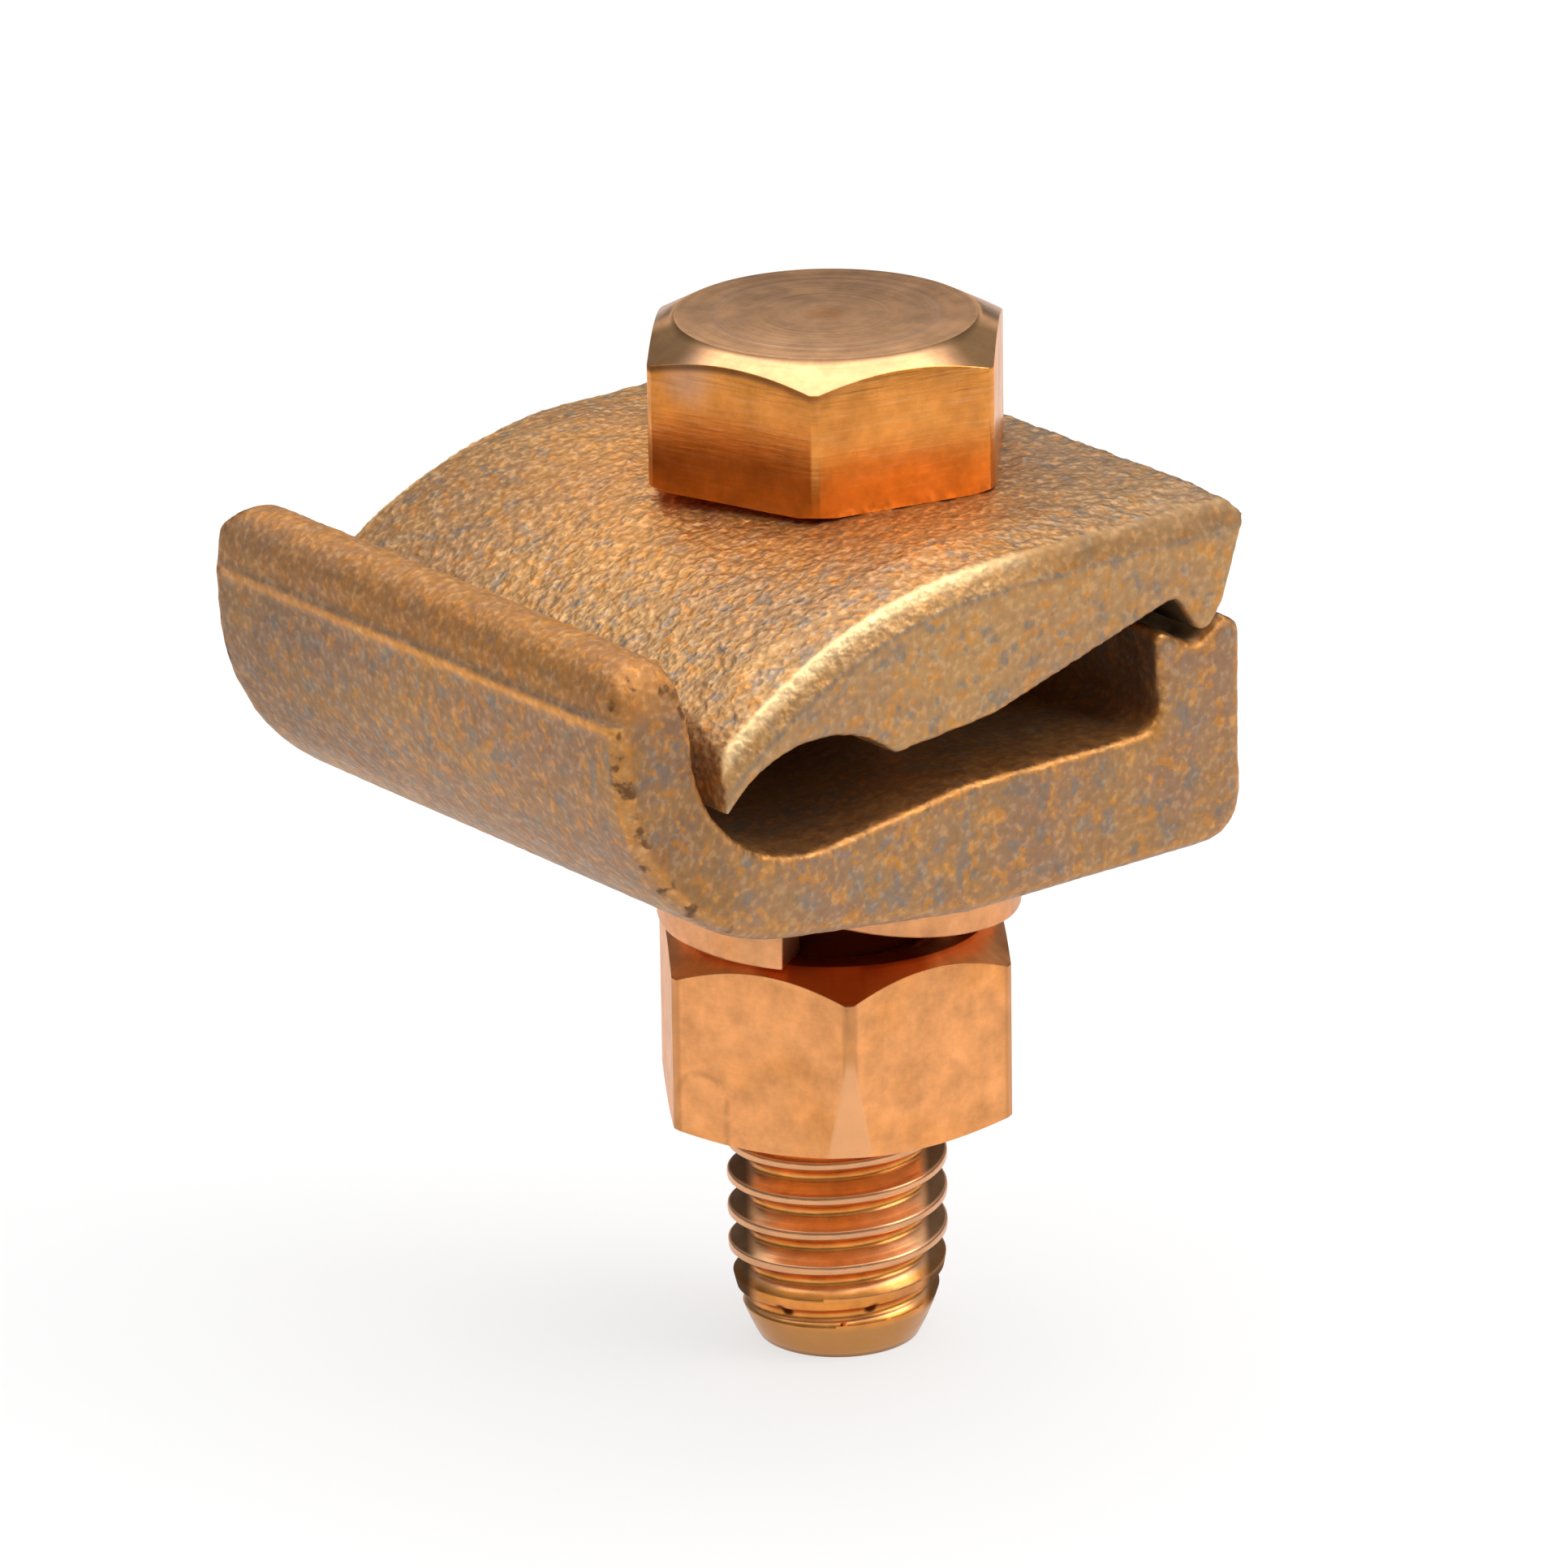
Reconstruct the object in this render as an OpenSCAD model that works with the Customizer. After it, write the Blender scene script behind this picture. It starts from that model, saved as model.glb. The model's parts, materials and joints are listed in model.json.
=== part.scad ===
// Single-bolt bronze ground connector: a cast cap and a cast hooked base clamp a conductor between
// two grooves. A hex bolt passes down through both castings to a split lock washer and a hex nut.
// X runs across the jaws, Y along the conductor, Z up along the bolt.
// The origin is on the groove's axis at mid length, with the jaws closed.

/* [Conductor groove] */
// Radius of the groove in both jaws
groove_r = 6; // [5.6:0.1:6.6]
// Height of the empty groove with the jaws closed
jaw_gap = 4.9; // [4.4:0.1:5.4]
// Distance from the groove's axis to the bolt's axis
bolt_offset = 12; // [11.6:0.1:13]

/* [Hooked base] */
// Length of the base along the conductor
base_l = 28; // [24:0.5:34]
// Wall of the hook round the groove
hook_wall = 3.7; // [3:0.1:4.4]
// Height of the hook's lip above the groove's axis
lip_h = 7.4; // [6.5:0.1:9]
// Thickness of the lip at its rounded top
lip_t = 3.3; // [2.4:0.1:3.6]
// How far the lip's inner face leans out from the groove
lip_lean = 0.4; // [0:0.05:0.8]
// Depth of the slot's floor below the groove's axis
floor_depth = 1.45; // [1.2:0.05:1.7]
// Thickness of the base under the bolt
base_t = 5.8; // [5:0.1:7]
// Distance from the bolt's axis to the left edge of the flat washer pad
pad_left = 3.8; // [3:0.1:5]
// Distance from the bolt's axis to the left edge of the flat slot floor
floor_left = 4; // [3:0.1:5]
// Distance from the bolt's axis to the end of the slot
slot_reach = 6.4; // [6.1:0.1:8]
// Thickness of the end wall
end_wall = 4.3; // [4:0.1:5.5]
// Height of the end wall above the groove's axis
end_wall_h = 2.7; // [2.2:0.1:2.9]
// How far the end wall leans over the slot
end_wall_lean = 0.3; // [0:0.05:0.5]
// Half width of the vee that the cap's tooth rocks in
vee_half_w = 1.6; // [1.3:0.05:1.7]
// Depth of the vee
vee_depth = 0.95; // [0.6:0.05:1.2]
// Radius of the base's lower outer corner
base_corner_r = 2.6; // [1:0.1:3]
// Fillet between the slot's floor and its end wall
slot_fillet = 1.2; // [0.6:0.1:1.6]
// Step at the mould's parting line on the end wall
parting_step = 0.25; // [0.1:0.05:0.4]
// Height of that parting line above the underside of the base
parting_h = 3.2; // [2.8:0.1:4]
// Radius of the flash ridge along the lip's outer side
ridge_r = 0.3; // [0.2:0.05:0.5]
// Height of the flash ridge above the groove's axis
ridge_h = 4.8; // [4.2:0.1:5.2]
// Radius on the outer edges at both ends of the base
base_edge_r = 0.9; // [0.4:0.1:1.2]
// Radius of the lip's upper corners at both ends of the base
lip_end_r = 2; // [1.2:0.1:3]

/* [Cap] */
// Length of the cap along the conductor
cap_l = 29; // [24:0.5:34]
// Height of the bolt seat above the groove's axis
seat_h = 8.15; // [7.6:0.05:9]
// Radius of the crown that falls from the bolt seat to the nose
crown_r = 22; // [20:0.5:26]
// Distance from the bolt's axis to where the crown starts to fall
crown_left = 2.5; // [1.5:0.1:3.5]
// Radius of the nose beside the hook
nose_r = 2.5; // [1.5:0.1:3]
// Gap between the nose's lower edge and the hook with the jaws closed
tip_clear = 0.35; // [0.2:0.05:0.6]
// Distance from the bolt's axis to the left edge of the inclined underside
incline_left = 3; // [2:0.1:4]
// Height of that edge above the groove's axis
land_h = 1.4; // [1.1:0.05:1.6]
// Slope of the land between the groove and the incline
land_slope = 5.5; // [3:0.5:7]
// Slope of the inclined underside
incline_slope = 16.5; // [14:0.5:17.5]
// Radius of the tooth's tip
tooth_r = 0.5; // [0.3:0.05:0.6]
// Distance from the tooth's middle to its root on the bolt's side
tooth_w = 1.4; // [1.1:0.1:1.7]
// Gap between the tooth and the vee's bottom with the jaws closed
tooth_clear = 0.8; // [0.5:0.05:1.1]
// Set-back of the cap's outer side from the end wall
cap_inset = 0.2; // [0:0.05:0.4]
// Set-back of the tooth's root from the cap's outer side
tooth_setback = 1.2; // [1:0.1:1.5]
// Chamfer along the cap's outer top edge
cap_chamfer = 1; // [0.5:0.1:1.4]
// How far the crown and the seat dip towards both ends of the cap
end_dip = 0.3; // [0.2:0.05:0.8]
// Length of that dip
end_dip_l = 2.8; // [1.5:0.1:4]
// Height of the bevel below the dip, along the top edge of both end faces
bevel_h = 1.2; // [0.6:0.05:1.5]
// Lean of that bevel from the end face
bevel_lean = 22; // [12:1:40]

/* [Fasteners] */
// Width across the flats of the bolt head and the nut
across_flats = 14.29; // [13.5:0.01:15]
// Width across the rounded corners of the bolt head and the nut
across_corners = 16.1; // [15.7:0.1:16.4]
// Height of the bolt head
head_h = 6.35; // [5.5:0.05:7]
// Diameter of the bolt head's flat bearing face
head_bottom_d = 15.6; // [14.6:0.1:15.6]
// Slope of the rounded edge round that face
head_bottom_chamfer = 20; // [10:1:35]
// Diameter of the bolt head's flat top
head_top_d = 12.6; // [11.5:0.1:13.4]
// Slope of the chamfer on the bolt head
head_chamfer = 28; // [15:1:32]
// Turn of the bolt head about its axis
head_turn = 48; // [0:1:60]
// Diameter of the bolt's shank and thread crests
bolt_d = 9.4; // [9:0.05:9.6]
// Length of the bolt below its head
bolt_l = 39; // [36:0.5:45]
// Diameter of the bolt's end
bolt_tip_d = 6.9; // [5.5:0.1:8]
// Length of the rolled curve at the bolt's end
bolt_tip_l = 4.8; // [2:0.1:6]
// Clearance between the bolt and the holes in the castings, on the diameter
hole_clear = 0.9; // [0.6:0.1:1.4]
// Height of the nut
nut_h = 8.45; // [7.5:0.05:9]
// Diameter of the nut's flat upper face
nut_top_d = 13.2; // [12:0.1:14]
// Slope of the nut's upper chamfer
nut_top_chamfer = 38; // [20:1:42]
// Diameter of the nut's flat lower face
nut_bottom_d = 13.8; // [12.5:0.1:14.2]
// Slope of the nut's lower chamfer
nut_bottom_chamfer = 20; // [10:1:35]
// Turn of the nut about its axis
nut_turn = 56; // [0:1:60]
// Running clearance between the bolt and the nut, on the diameter
thread_clear = 0.1; // [0.04:0.02:0.2]

/* [Lock washer] */
// Thickness of the washer's wire
washer_t = 2.35; // [1.8:0.05:2.8]
// Outer diameter of the washer
washer_d = 15.4; // [15:0.1:17.5]
// Clearance between the washer and the bolt, on the diameter
washer_clear = 1.1; // [0.7:0.1:1.3]
// How far the loose washer lies off the bolt's axis
washer_play = 0.3; // [0:0.05:0.3]
// Rise of the sprung end over the end that lies on the nut
washer_rise = 2.3; // [0.5:0.05:2.5]
// Width of the cut through the washer
washer_cut = 1.2; // [0.6:0.1:2]
// Direction of the washer's cut about its axis
washer_turn = 218; // [0:1:360]
// How late the washer's wire starts to rise: 1 is an even helix
washer_set = 6; // [1:0.5:8]

/* [Hidden] */

round_fn = 96;
washer_steps = 72;
overrun = 1;
far = 60;

cast_tan = [0.62, 0.49, 0.34];
cast_brown = [0.57, 0.45, 0.32];
bolt_copper = [0.78, 0.46, 0.22];
washer_pink = [0.86, 0.56, 0.40];
nut_salmon = [0.88, 0.60, 0.38];

// The two grooves are arcs of one radius whose centres lie apart, so the closed jaws leave a lens.
arc_centre = groove_r - jaw_gap / 2;
base_arc = [0, arc_centre];
cap_arc = [0, -arc_centre];
hook_r = groove_r + hook_wall;

floor_z = -floor_depth;
pad_z = floor_z - base_t;
pad_x = bolt_offset - pad_left;
floor_x = bolt_offset - floor_left;
slot_x = bolt_offset + slot_reach;
wall_x = slot_x + end_wall;
base_right = wall_x + parting_step;
vee_x = slot_x + end_wall / 2 - parting_step;
vee_z = end_wall_h - vee_depth;
step_z = pad_z + parting_h;

lip_r = lip_t / 2;
lip_centre = [-groove_r - lip_lean - lip_r, lip_h - lip_r];
base_left = -max(hook_r, groove_r + lip_lean + lip_t);

// The bodies that round an edge stand this far off its two faces, so the round meets each in a clear line.
round_slack = 0.03;

// The underside leaves the hook as a ramp that touches its outer arc and ends at the washer pad.
ramp_start = touch(base_arc, hook_r, [pad_x, pad_z], -1);
ramp_fall = atan2(ramp_start[1] - pad_z, pad_x - ramp_start[0]);

// The nose stops where the two groove arcs are the clearance apart.
tip_x = -sqrt(pow(groove_r, 2) - pow(arc_centre + tip_clear / 2, 2));
crown_centre = [bolt_offset - crown_left, seat_h - crown_r];
nose_x = tip_x + nose_r;
nose_z = crown_centre[1] + sqrt(pow(crown_r - nose_r, 2) - pow(nose_x - crown_centre[0], 2));
nose_centre = [nose_x, nose_z];
nose_turn = atan2(nose_z - crown_centre[1], nose_x - crown_centre[0]);

incline_x = bolt_offset - incline_left;
tooth_centre = [vee_x, vee_z + tooth_clear + tooth_r];
notch_x = tooth_centre[0] - tooth_w;
notch_z = land_h + (notch_x - tooth_r - incline_x) * tan(incline_slope);
cap_x = wall_x - cap_inset;
tooth_root = [cap_x - tooth_setback, tooth_centre[1] + tooth_r];

hex_d = across_flats / cos(30);
nut_top = pad_z - washer_t - washer_rise;
hole_d = bolt_d + hole_clear;

// Where a line from p touches a circle, turned from p's direction by the sign of side.
function touch(centre, r, p, side) =
    let (
        v = p - centre,
        turn = atan2(v[1], v[0]) + side * acos(r / norm(v))
    )
    centre + r * [cos(turn), sin(turn)];

// Stands a profile drawn in X and Z up and draws it along Y, centred.
module along_y(length) {
    rotate([90, 0, 0])
        linear_extrude(height = length, center = true)
            children();
}

// Stands a profile drawn in Y and Z up and draws it along X, centred.
module along_x(length) {
    rotate([90, 0, 90])
        linear_extrude(height = length, center = true)
            children();
}

module disc(centre, r) {
    translate(centre)
        circle(r = r, $fn = round_fn);
}

// A rectangle between two opposite corners, with rounded corners.
module rounded_rect(low, high, r) {
    size = high - low;
    translate(low + [r, 0])
        square(size - [2 * r, 0]);
    translate(low + [0, r])
        square(size - [0, 2 * r]);
    for (x = [low[0] + r, high[0] - r], y = [low[1] + r, high[1] - r])
        disc([x, y], r);
}

// What a round of radius r takes off an outer corner whose sides run along -sx and -sz.
module corner_waste(corner, r, sx, sz) {
    centre = corner - [sx * r, sz * r];
    difference() {
        translate(centre)
            polygon([[0, 0], [sx * (r + overrun), 0], [sx * (r + overrun), sz * (r + overrun)],
                [0, sz * (r + overrun)]]);
        disc(centre, r);
    }
}

module bolt_hole() {
    translate([bolt_offset, 0, -far / 2])
        cylinder(d = hole_d, h = far, $fn = round_fn);
}

// The hook, its lip, the slab under the bolt and the end wall, before the channel is cut.
module base_outline() {
    intersection() {
        disc(base_arc, hook_r);
        translate([-far / 2, arc_centre - far])
            square(far);
    }
    polygon([base_arc - [hook_r, 0], base_arc - [groove_r, 0], lip_centre + [lip_r, 0],
        lip_centre - [lip_r, 0]]);
    disc(lip_centre, lip_r);
    polygon([base_arc, ramp_start, [pad_x, pad_z], [base_right, pad_z], [base_right, step_z],
        [wall_x, step_z + parting_step], [wall_x, end_wall_h - vee_depth / 2], [vee_x + vee_half_w, end_wall_h],
        [0, end_wall_h]]);
}

// The channel between the lip and the end wall, open at the top.
module base_channel() {
    floor_start = touch(base_arc, groove_r, [floor_x, floor_z], -1);
    wall_top_x = slot_x - end_wall_lean;
    disc(base_arc, groove_r);
    difference() {
        polygon([base_arc - [groove_r, 0], base_arc, floor_start, [floor_x, floor_z], [slot_x, floor_z],
            [wall_top_x, end_wall_h], [wall_top_x, far], [-groove_r, far]]);
        intersection() {
            corner_waste([slot_x, floor_z], slot_fillet, 1, -1);
            translate([floor_x, floor_z])
                square(slot_x - floor_x);
        }
    }
}

module base_vee() {
    polygon([[vee_x - vee_half_w, end_wall_h], [vee_x, vee_z], [vee_x + vee_half_w, end_wall_h],
        [vee_x + vee_half_w, far], [vee_x - vee_half_w, far]]);
}

// The space inside the rounded edges of the base's two ends, one prism for each way an edge runs.
module base_round_ends() {
    half = base_l / 2 + round_slack;
    intersection() {
        linear_extrude(height = far, center = true)
            rounded_rect([base_left - round_slack, -half], [base_right + round_slack, half], base_edge_r);
        along_x(far)
            rounded_rect([-half, pad_z - round_slack], [half, far], base_edge_r);
        along_x(far)
            rounded_rect([-half, -far], [half, lip_h + round_slack], lip_end_r);
        translate([0, 0, arc_centre])
            rotate([0, ramp_fall, 0]) {
                along_x(far)
                    rounded_rect([-half, -hook_r - round_slack], [half, far], base_edge_r);
            }
        hook_round_ends();
    }
}

// Round the hook the edge follows its arc. To the right of the ramp's start and above the arc there is room.
module hook_round_ends() {
    half = base_l / 2 + round_slack;
    outer_r = hook_r + round_slack;
    translate([0, 0, arc_centre]) {
        rotate([90, 0, 0])
            rotate_extrude($fn = round_fn)
                intersection() {
                    rounded_rect([-outer_r, -half], [outer_r, half], base_edge_r);
                    translate([0, -half])
                        square([outer_r, 2 * half]);
                }
        rotate([0, ramp_fall, 0])
            translate([0, -half, -far / 2])
                cube([far, 2 * half, far]);
        translate([-far, -half, 0])
            cube([2 * far, 2 * half, far]);
    }
}

// The thin flash that the mould leaves along the lip.
module flash_ridge() {
    ridge_l = base_l - 2 * base_edge_r;
    translate([base_left + ridge_r / 2, ridge_l / 2, ridge_h])
        rotate([90, 0, 0])
            cylinder(r = ridge_r, h = ridge_l, $fn = round_fn);
}

module lower_clamp() {
    color(cast_brown)
        difference() {
            union() {
                intersection() {
                    along_y(base_l)
                        difference() {
                            base_outline();
                            base_channel();
                            base_vee();
                            corner_waste([base_right, pad_z], base_corner_r, 1, -1);
                        }
                    base_round_ends();
                }
                flash_ridge();
            }
            bolt_hole();
        }
}

// Crown, nose, land, incline and tooth of the cap, before the groove and the crown's curve are cut.
module cap_outline() {
    land_tip = land_h - (incline_x - tip_x) * tan(land_slope);
    flank = tooth_r * [cos(30), sin(30)];
    polygon([[tip_x, land_tip], [incline_x, land_h], [notch_x - tooth_r, notch_z], [notch_x, notch_z],
        tooth_centre - flank, tooth_centre + [flank[0], -flank[1]], tooth_root, [cap_x, seat_h - cap_chamfer],
        [cap_x - cap_chamfer, seat_h], [tip_x, seat_h]]);
    disc(tooth_centre, tooth_r);
}

// What lies outside the crown, and outside the nose where it runs into the crown.
module crown_waste() {
    nose_reach = far * [cos(nose_turn), sin(nose_turn)];
    difference() {
        translate([crown_centre[0] - far, seat_h - crown_r])
            square(far);
        disc(crown_centre, crown_r);
    }
    difference() {
        polygon([nose_centre, nose_centre - [far, 0], nose_centre + [-far, far], nose_centre + nose_reach]);
        disc(nose_centre, nose_r);
    }
}

// The cap's length against height, from the crown's axis up: the end faces, their bevels and the dips, whose
// slopes are carried on until they meet above the middle.
module bevel_profile() {
    half = cap_l / 2;
    brow = half - bevel_h * tan(bevel_lean);
    brow_r = crown_r - end_dip;
    peak_r = brow_r + end_dip * brow / (brow + end_dip_l - half);
    polygon([[0, -half], [brow_r - bevel_h, -half], [brow_r, -brow], [peak_r, 0], [brow_r, brow],
        [brow_r - bevel_h, half], [0, half]]);
}

// The space inside the bevels at both ends: a cone about the crown's axis, and straight from there over the seat.
module cap_bevels() {
    translate([crown_centre[0], 0, crown_centre[1]]) {
        intersection() {
            rotate([90, 0, 0])
                rotate_extrude($fn = round_fn)
                    bevel_profile();
            translate([-far, -far, -far])
                cube([far, 2 * far, 2 * far]);
        }
        rotate([0, -90, 0])
            translate([0, 0, -far])
                linear_extrude(height = far)
                    bevel_profile();
    }
}

module upper_clamp() {
    color(cast_tan)
        difference() {
            intersection() {
                along_y(cap_l)
                    difference() {
                        cap_outline();
                        crown_waste();
                        disc(cap_arc, groove_r);
                    }
                cap_bevels();
            }
            bolt_hole();
        }
}

// A hexagon with rounded corners, trimmed by a cone at each end, standing on z = 0.
module trimmed_hex(h, bottom_d, bottom_slope, top_d, top_slope) {
    reach = across_corners / 2;
    intersection() {
        cylinder(d = hex_d, h = h, $fn = 6);
        rotate_extrude($fn = round_fn)
            polygon([[0, 0], [bottom_d / 2, 0], [reach, (reach - bottom_d / 2) * tan(bottom_slope)],
                [reach, h - (reach - top_d / 2) * tan(top_slope)], [top_d / 2, h], [0, h]]);
    }
}

// Half of the shank below the head, with its rolled end on one arc that just crosses the shank's side.
module shank_profile() {
    arc_reach = bolt_d / 2 + round_slack;
    fall = arc_reach - bolt_tip_d / 2;
    arc_r = (pow(bolt_tip_l, 2) + pow(fall, 2)) / (2 * fall);
    curve_z = bolt_tip_l - bolt_l;
    intersection() {
        translate([0, -bolt_l])
            square([bolt_d / 2, bolt_l + overrun]);
        union() {
            disc([arc_reach - arc_r, curve_z], arc_r);
            translate([0, curve_z])
                square([bolt_d, bolt_l]);
        }
    }
}

module hex_bolt() {
    color(bolt_copper)
        translate([bolt_offset, 0, seat_h]) {
            rotate(head_turn)
                trimmed_hex(head_h, head_bottom_d, head_bottom_chamfer, head_top_d, head_chamfer);
            rotate_extrude($fn = round_fn)
                shank_profile();
        }
}

// The wire's four corners at a share of the way round, from the lower end to the sprung end.
function washer_ring(share, cut) =
    let (
        turn = washer_turn - cut / 2 - share * (360 - cut),
        low = nut_top + washer_rise * pow(share, washer_set),
        inner = (bolt_d + washer_clear) / 2,
        outer = washer_d / 2
    )
    [for (corner = [[inner, 0], [outer, 0], [outer, washer_t], [inner, washer_t]])
        [corner[0] * cos(turn), corner[0] * sin(turn), low + corner[1]]];

module lock_washer() {
    cut = 2 * asin(washer_cut / washer_d);
    rings = [for (step = [0:washer_steps]) washer_ring(step / washer_steps, cut)];
    sides = [for (step = [0:washer_steps - 1], side = [0:3])
        let (near = 4 * step, next = (side + 1) % 4)
        [near + side, near + next, near + 4 + next, near + 4 + side]];
    last = 4 * washer_steps;
    ends = [[3, 2, 1, 0], [last, last + 1, last + 2, last + 3]];
    color(washer_pink)
        translate([bolt_offset + washer_play, 0, 0])
            polyhedron(points = [for (ring = rings) each ring], faces = concat(sides, ends));
}

module hex_nut() {
    color(nut_salmon)
        translate([bolt_offset, 0, nut_top - nut_h])
            difference() {
                rotate(nut_turn)
                    trimmed_hex(nut_h, nut_bottom_d, nut_bottom_chamfer, nut_top_d, nut_top_chamfer);
                translate([0, 0, -overrun])
                    cylinder(d = bolt_d + thread_clear, h = nut_h + 2 * overrun, $fn = round_fn);
            }
}

upper_clamp();
lower_clamp();
hex_bolt();
lock_washer();
hex_nut();
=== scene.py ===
# %% [markdown]
# # A bolted ground connector
# Two sand-cast bronze jaws are drawn together by a bolt, a split lock washer and a nut. The solids
# come from the part's own frame, at their real size, and this lesson gives them their looks: the
# grain of the castings, the thread, the softened edges and the finish of each metal.

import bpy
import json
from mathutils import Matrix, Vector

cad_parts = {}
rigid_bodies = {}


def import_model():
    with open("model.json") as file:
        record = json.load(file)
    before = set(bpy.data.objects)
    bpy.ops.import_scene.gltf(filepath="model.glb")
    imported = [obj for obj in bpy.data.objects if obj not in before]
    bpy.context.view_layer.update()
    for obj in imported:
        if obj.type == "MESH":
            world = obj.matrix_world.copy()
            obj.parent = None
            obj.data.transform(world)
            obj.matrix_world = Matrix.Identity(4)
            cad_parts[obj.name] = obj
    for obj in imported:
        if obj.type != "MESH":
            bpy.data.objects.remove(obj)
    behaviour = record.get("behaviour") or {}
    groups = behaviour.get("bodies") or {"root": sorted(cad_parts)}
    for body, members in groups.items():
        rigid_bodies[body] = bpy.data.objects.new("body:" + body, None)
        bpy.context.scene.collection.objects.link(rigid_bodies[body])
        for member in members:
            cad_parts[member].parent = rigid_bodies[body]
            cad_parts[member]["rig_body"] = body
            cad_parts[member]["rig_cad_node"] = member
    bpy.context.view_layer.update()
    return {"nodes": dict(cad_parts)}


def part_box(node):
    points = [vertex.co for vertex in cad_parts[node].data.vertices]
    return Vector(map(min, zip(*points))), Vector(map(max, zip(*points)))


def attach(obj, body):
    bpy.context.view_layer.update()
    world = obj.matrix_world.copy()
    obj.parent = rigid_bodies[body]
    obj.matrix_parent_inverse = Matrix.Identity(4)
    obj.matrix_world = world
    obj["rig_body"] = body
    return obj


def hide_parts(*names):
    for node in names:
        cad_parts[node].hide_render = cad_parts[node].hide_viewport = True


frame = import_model()
print("solids:", sorted(frame["nodes"]))

# %% [markdown]
# ## The sizes that the lesson needs
# Blender counts in metres and this part is as big as a thumb, so lengths are written in millimetres
# and multiplied by MM. The bolt's axis and the heights are read from the frame's boxes, because a
# piece that is placed by the frame needs no fitting later.

# %% Sizes from the frame
import json
import math

import bpy
import numpy as np
from mathutils import Matrix, Vector

MM = 0.001
nut_low, nut_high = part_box("hex_nut")
bolt_low, bolt_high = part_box("hex_bolt")
cap_low, cap_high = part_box("upper_clamp")
base_low, base_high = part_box("lower_clamp")
AXIS = (nut_low + nut_high) / 2
AXIS.z = 0
SEAT = cap_high.z
TIP = bolt_low.z
print("bolt axis at", AXIS, "seat at", SEAT, "tip at", TIP)

# %% [markdown]
# ## Helpers that stand in for the mouse
# By hand you click an object, add a modifier and press Apply. These short functions do the same.
# Everything is deselected first, because an operator acts on all that is selected.

# %% Select, apply, weld and count
WELD = 1e-6


def click(piece):
    bpy.ops.object.select_all(action="DESELECT")
    piece.select_set(True)
    bpy.context.view_layer.objects.active = piece


def apply_modifier(piece, kind, **settings):
    click(piece)
    bpy.ops.object.modifier_add(type=kind)
    modifier = piece.modifiers[-1]
    for name, value in settings.items():
        setattr(modifier, name, value)
    bpy.ops.object.modifier_apply(modifier=modifier.name)


def merge_doubles(piece, recalculate=False):
    click(piece)
    bpy.ops.object.mode_set(mode="EDIT")
    bpy.ops.mesh.select_all(action="SELECT")
    bpy.ops.mesh.remove_doubles(threshold=WELD)
    if recalculate:
        bpy.ops.mesh.normals_make_consistent(inside=False)
    bpy.ops.object.mode_set(mode="OBJECT")


def triangles(piece):
    piece.data.calc_loop_triangles()
    return f"{piece.name}: {len(piece.data.loop_triangles)} triangles"


# %% [markdown]
# ## The two castings
# A sand casting has no sharp edge and no smooth face: molten bronze takes the print of the sand. It
# could be sculpted by hand, but the solid already has the right form, so each casting starts as a
# copy of it. A solid comes as loose triangles, so the copy is welded first.

# %% A copy of a solid
def copy_of(solid, name):
    click(frame["nodes"][solid])
    bpy.ops.object.duplicate()
    piece = bpy.context.active_object
    piece.name = name
    piece.parent = None
    del piece["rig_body"], piece["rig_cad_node"]
    piece.data.materials.clear()
    merge_doubles(piece)
    return piece


# %% [markdown]
# A voxel remesh turns the copy into an even skin of small quads, and a smooth pass rounds every edge
# as the sand would. The voxels are small, because the grain that comes later needs enough points.

# %% An even skin
SMOOTH_SHARE = 0.5


def cast_skin(solid, name, voxel):
    skin = copy_of(solid, name)
    apply_modifier(skin, "REMESH", mode="VOXEL", voxel_size=voxel, use_smooth_shade=True)
    apply_modifier(skin, "SMOOTH", factor=SMOOTH_SHARE, iterations=2)
    print(triangles(skin))
    return skin


cap = cast_skin("upper_clamp", "cap_casting", voxel=0.165 * MM)
base = cast_skin("lower_clamp", "base_casting", voxel=0.19 * MM)

# %% [markdown]
# The finish isn't even, so each skin is marked before it gets rough. The marks come from the place of
# a point, in millimetres, and from the way the skin faces there. They could be painted by hand, but a
# rule gives the same marks at both ends and on every run. A fade rises softly from 0 at its low value
# to 1 at its high one. A mark that shapes the skin is a vertex group, and a mark that a finish reads
# is an attribute of the mesh.

# %% Marks on a skin
GROUP_LEVELS = 10


def points_and_normals(piece):
    count = len(piece.data.vertices)
    points = np.empty(count * 3)
    normals = np.empty(count * 3)
    piece.data.vertices.foreach_get("co", points)
    piece.data.vertices.foreach_get("normal", normals)
    return points.reshape(-1, 3).T / MM, normals.reshape(-1, 3).T


def fade(values, low, high):
    share = np.clip((values - low) / (high - low), 0, 1)
    return share * share * (3 - 2 * share)


def mark(piece, name, values):
    layer = piece.data.attributes.new(name, "FLOAT", "POINT")
    layer.data.foreach_set("value", np.clip(values, 0, 1))
    print(f"{piece.name}: {name} covers {100 * np.mean(values > 0.5):.1f}% of the points")


def weigh(piece, name, values):
    group = piece.vertex_groups.new(name=name)
    levels = np.round(np.clip(values, 0, 1) * GROUP_LEVELS)
    for level in range(1, GROUP_LEVELS + 1):
        members = np.flatnonzero(levels == level)
        group.add(members.tolist(), level / GROUP_LEVELS, "REPLACE")


# %% [markdown]
# The rims of a casting are rounder than the rest, because the pattern needs draft to leave the sand.
# Smoothing only a group of points rounds the rims and leaves the bevels crisp. On the cap these are
# the tip beside the lip and the lower rim at each end, and on the base all that is close to an end,
# with the ends of the lip rounded most.

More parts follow.
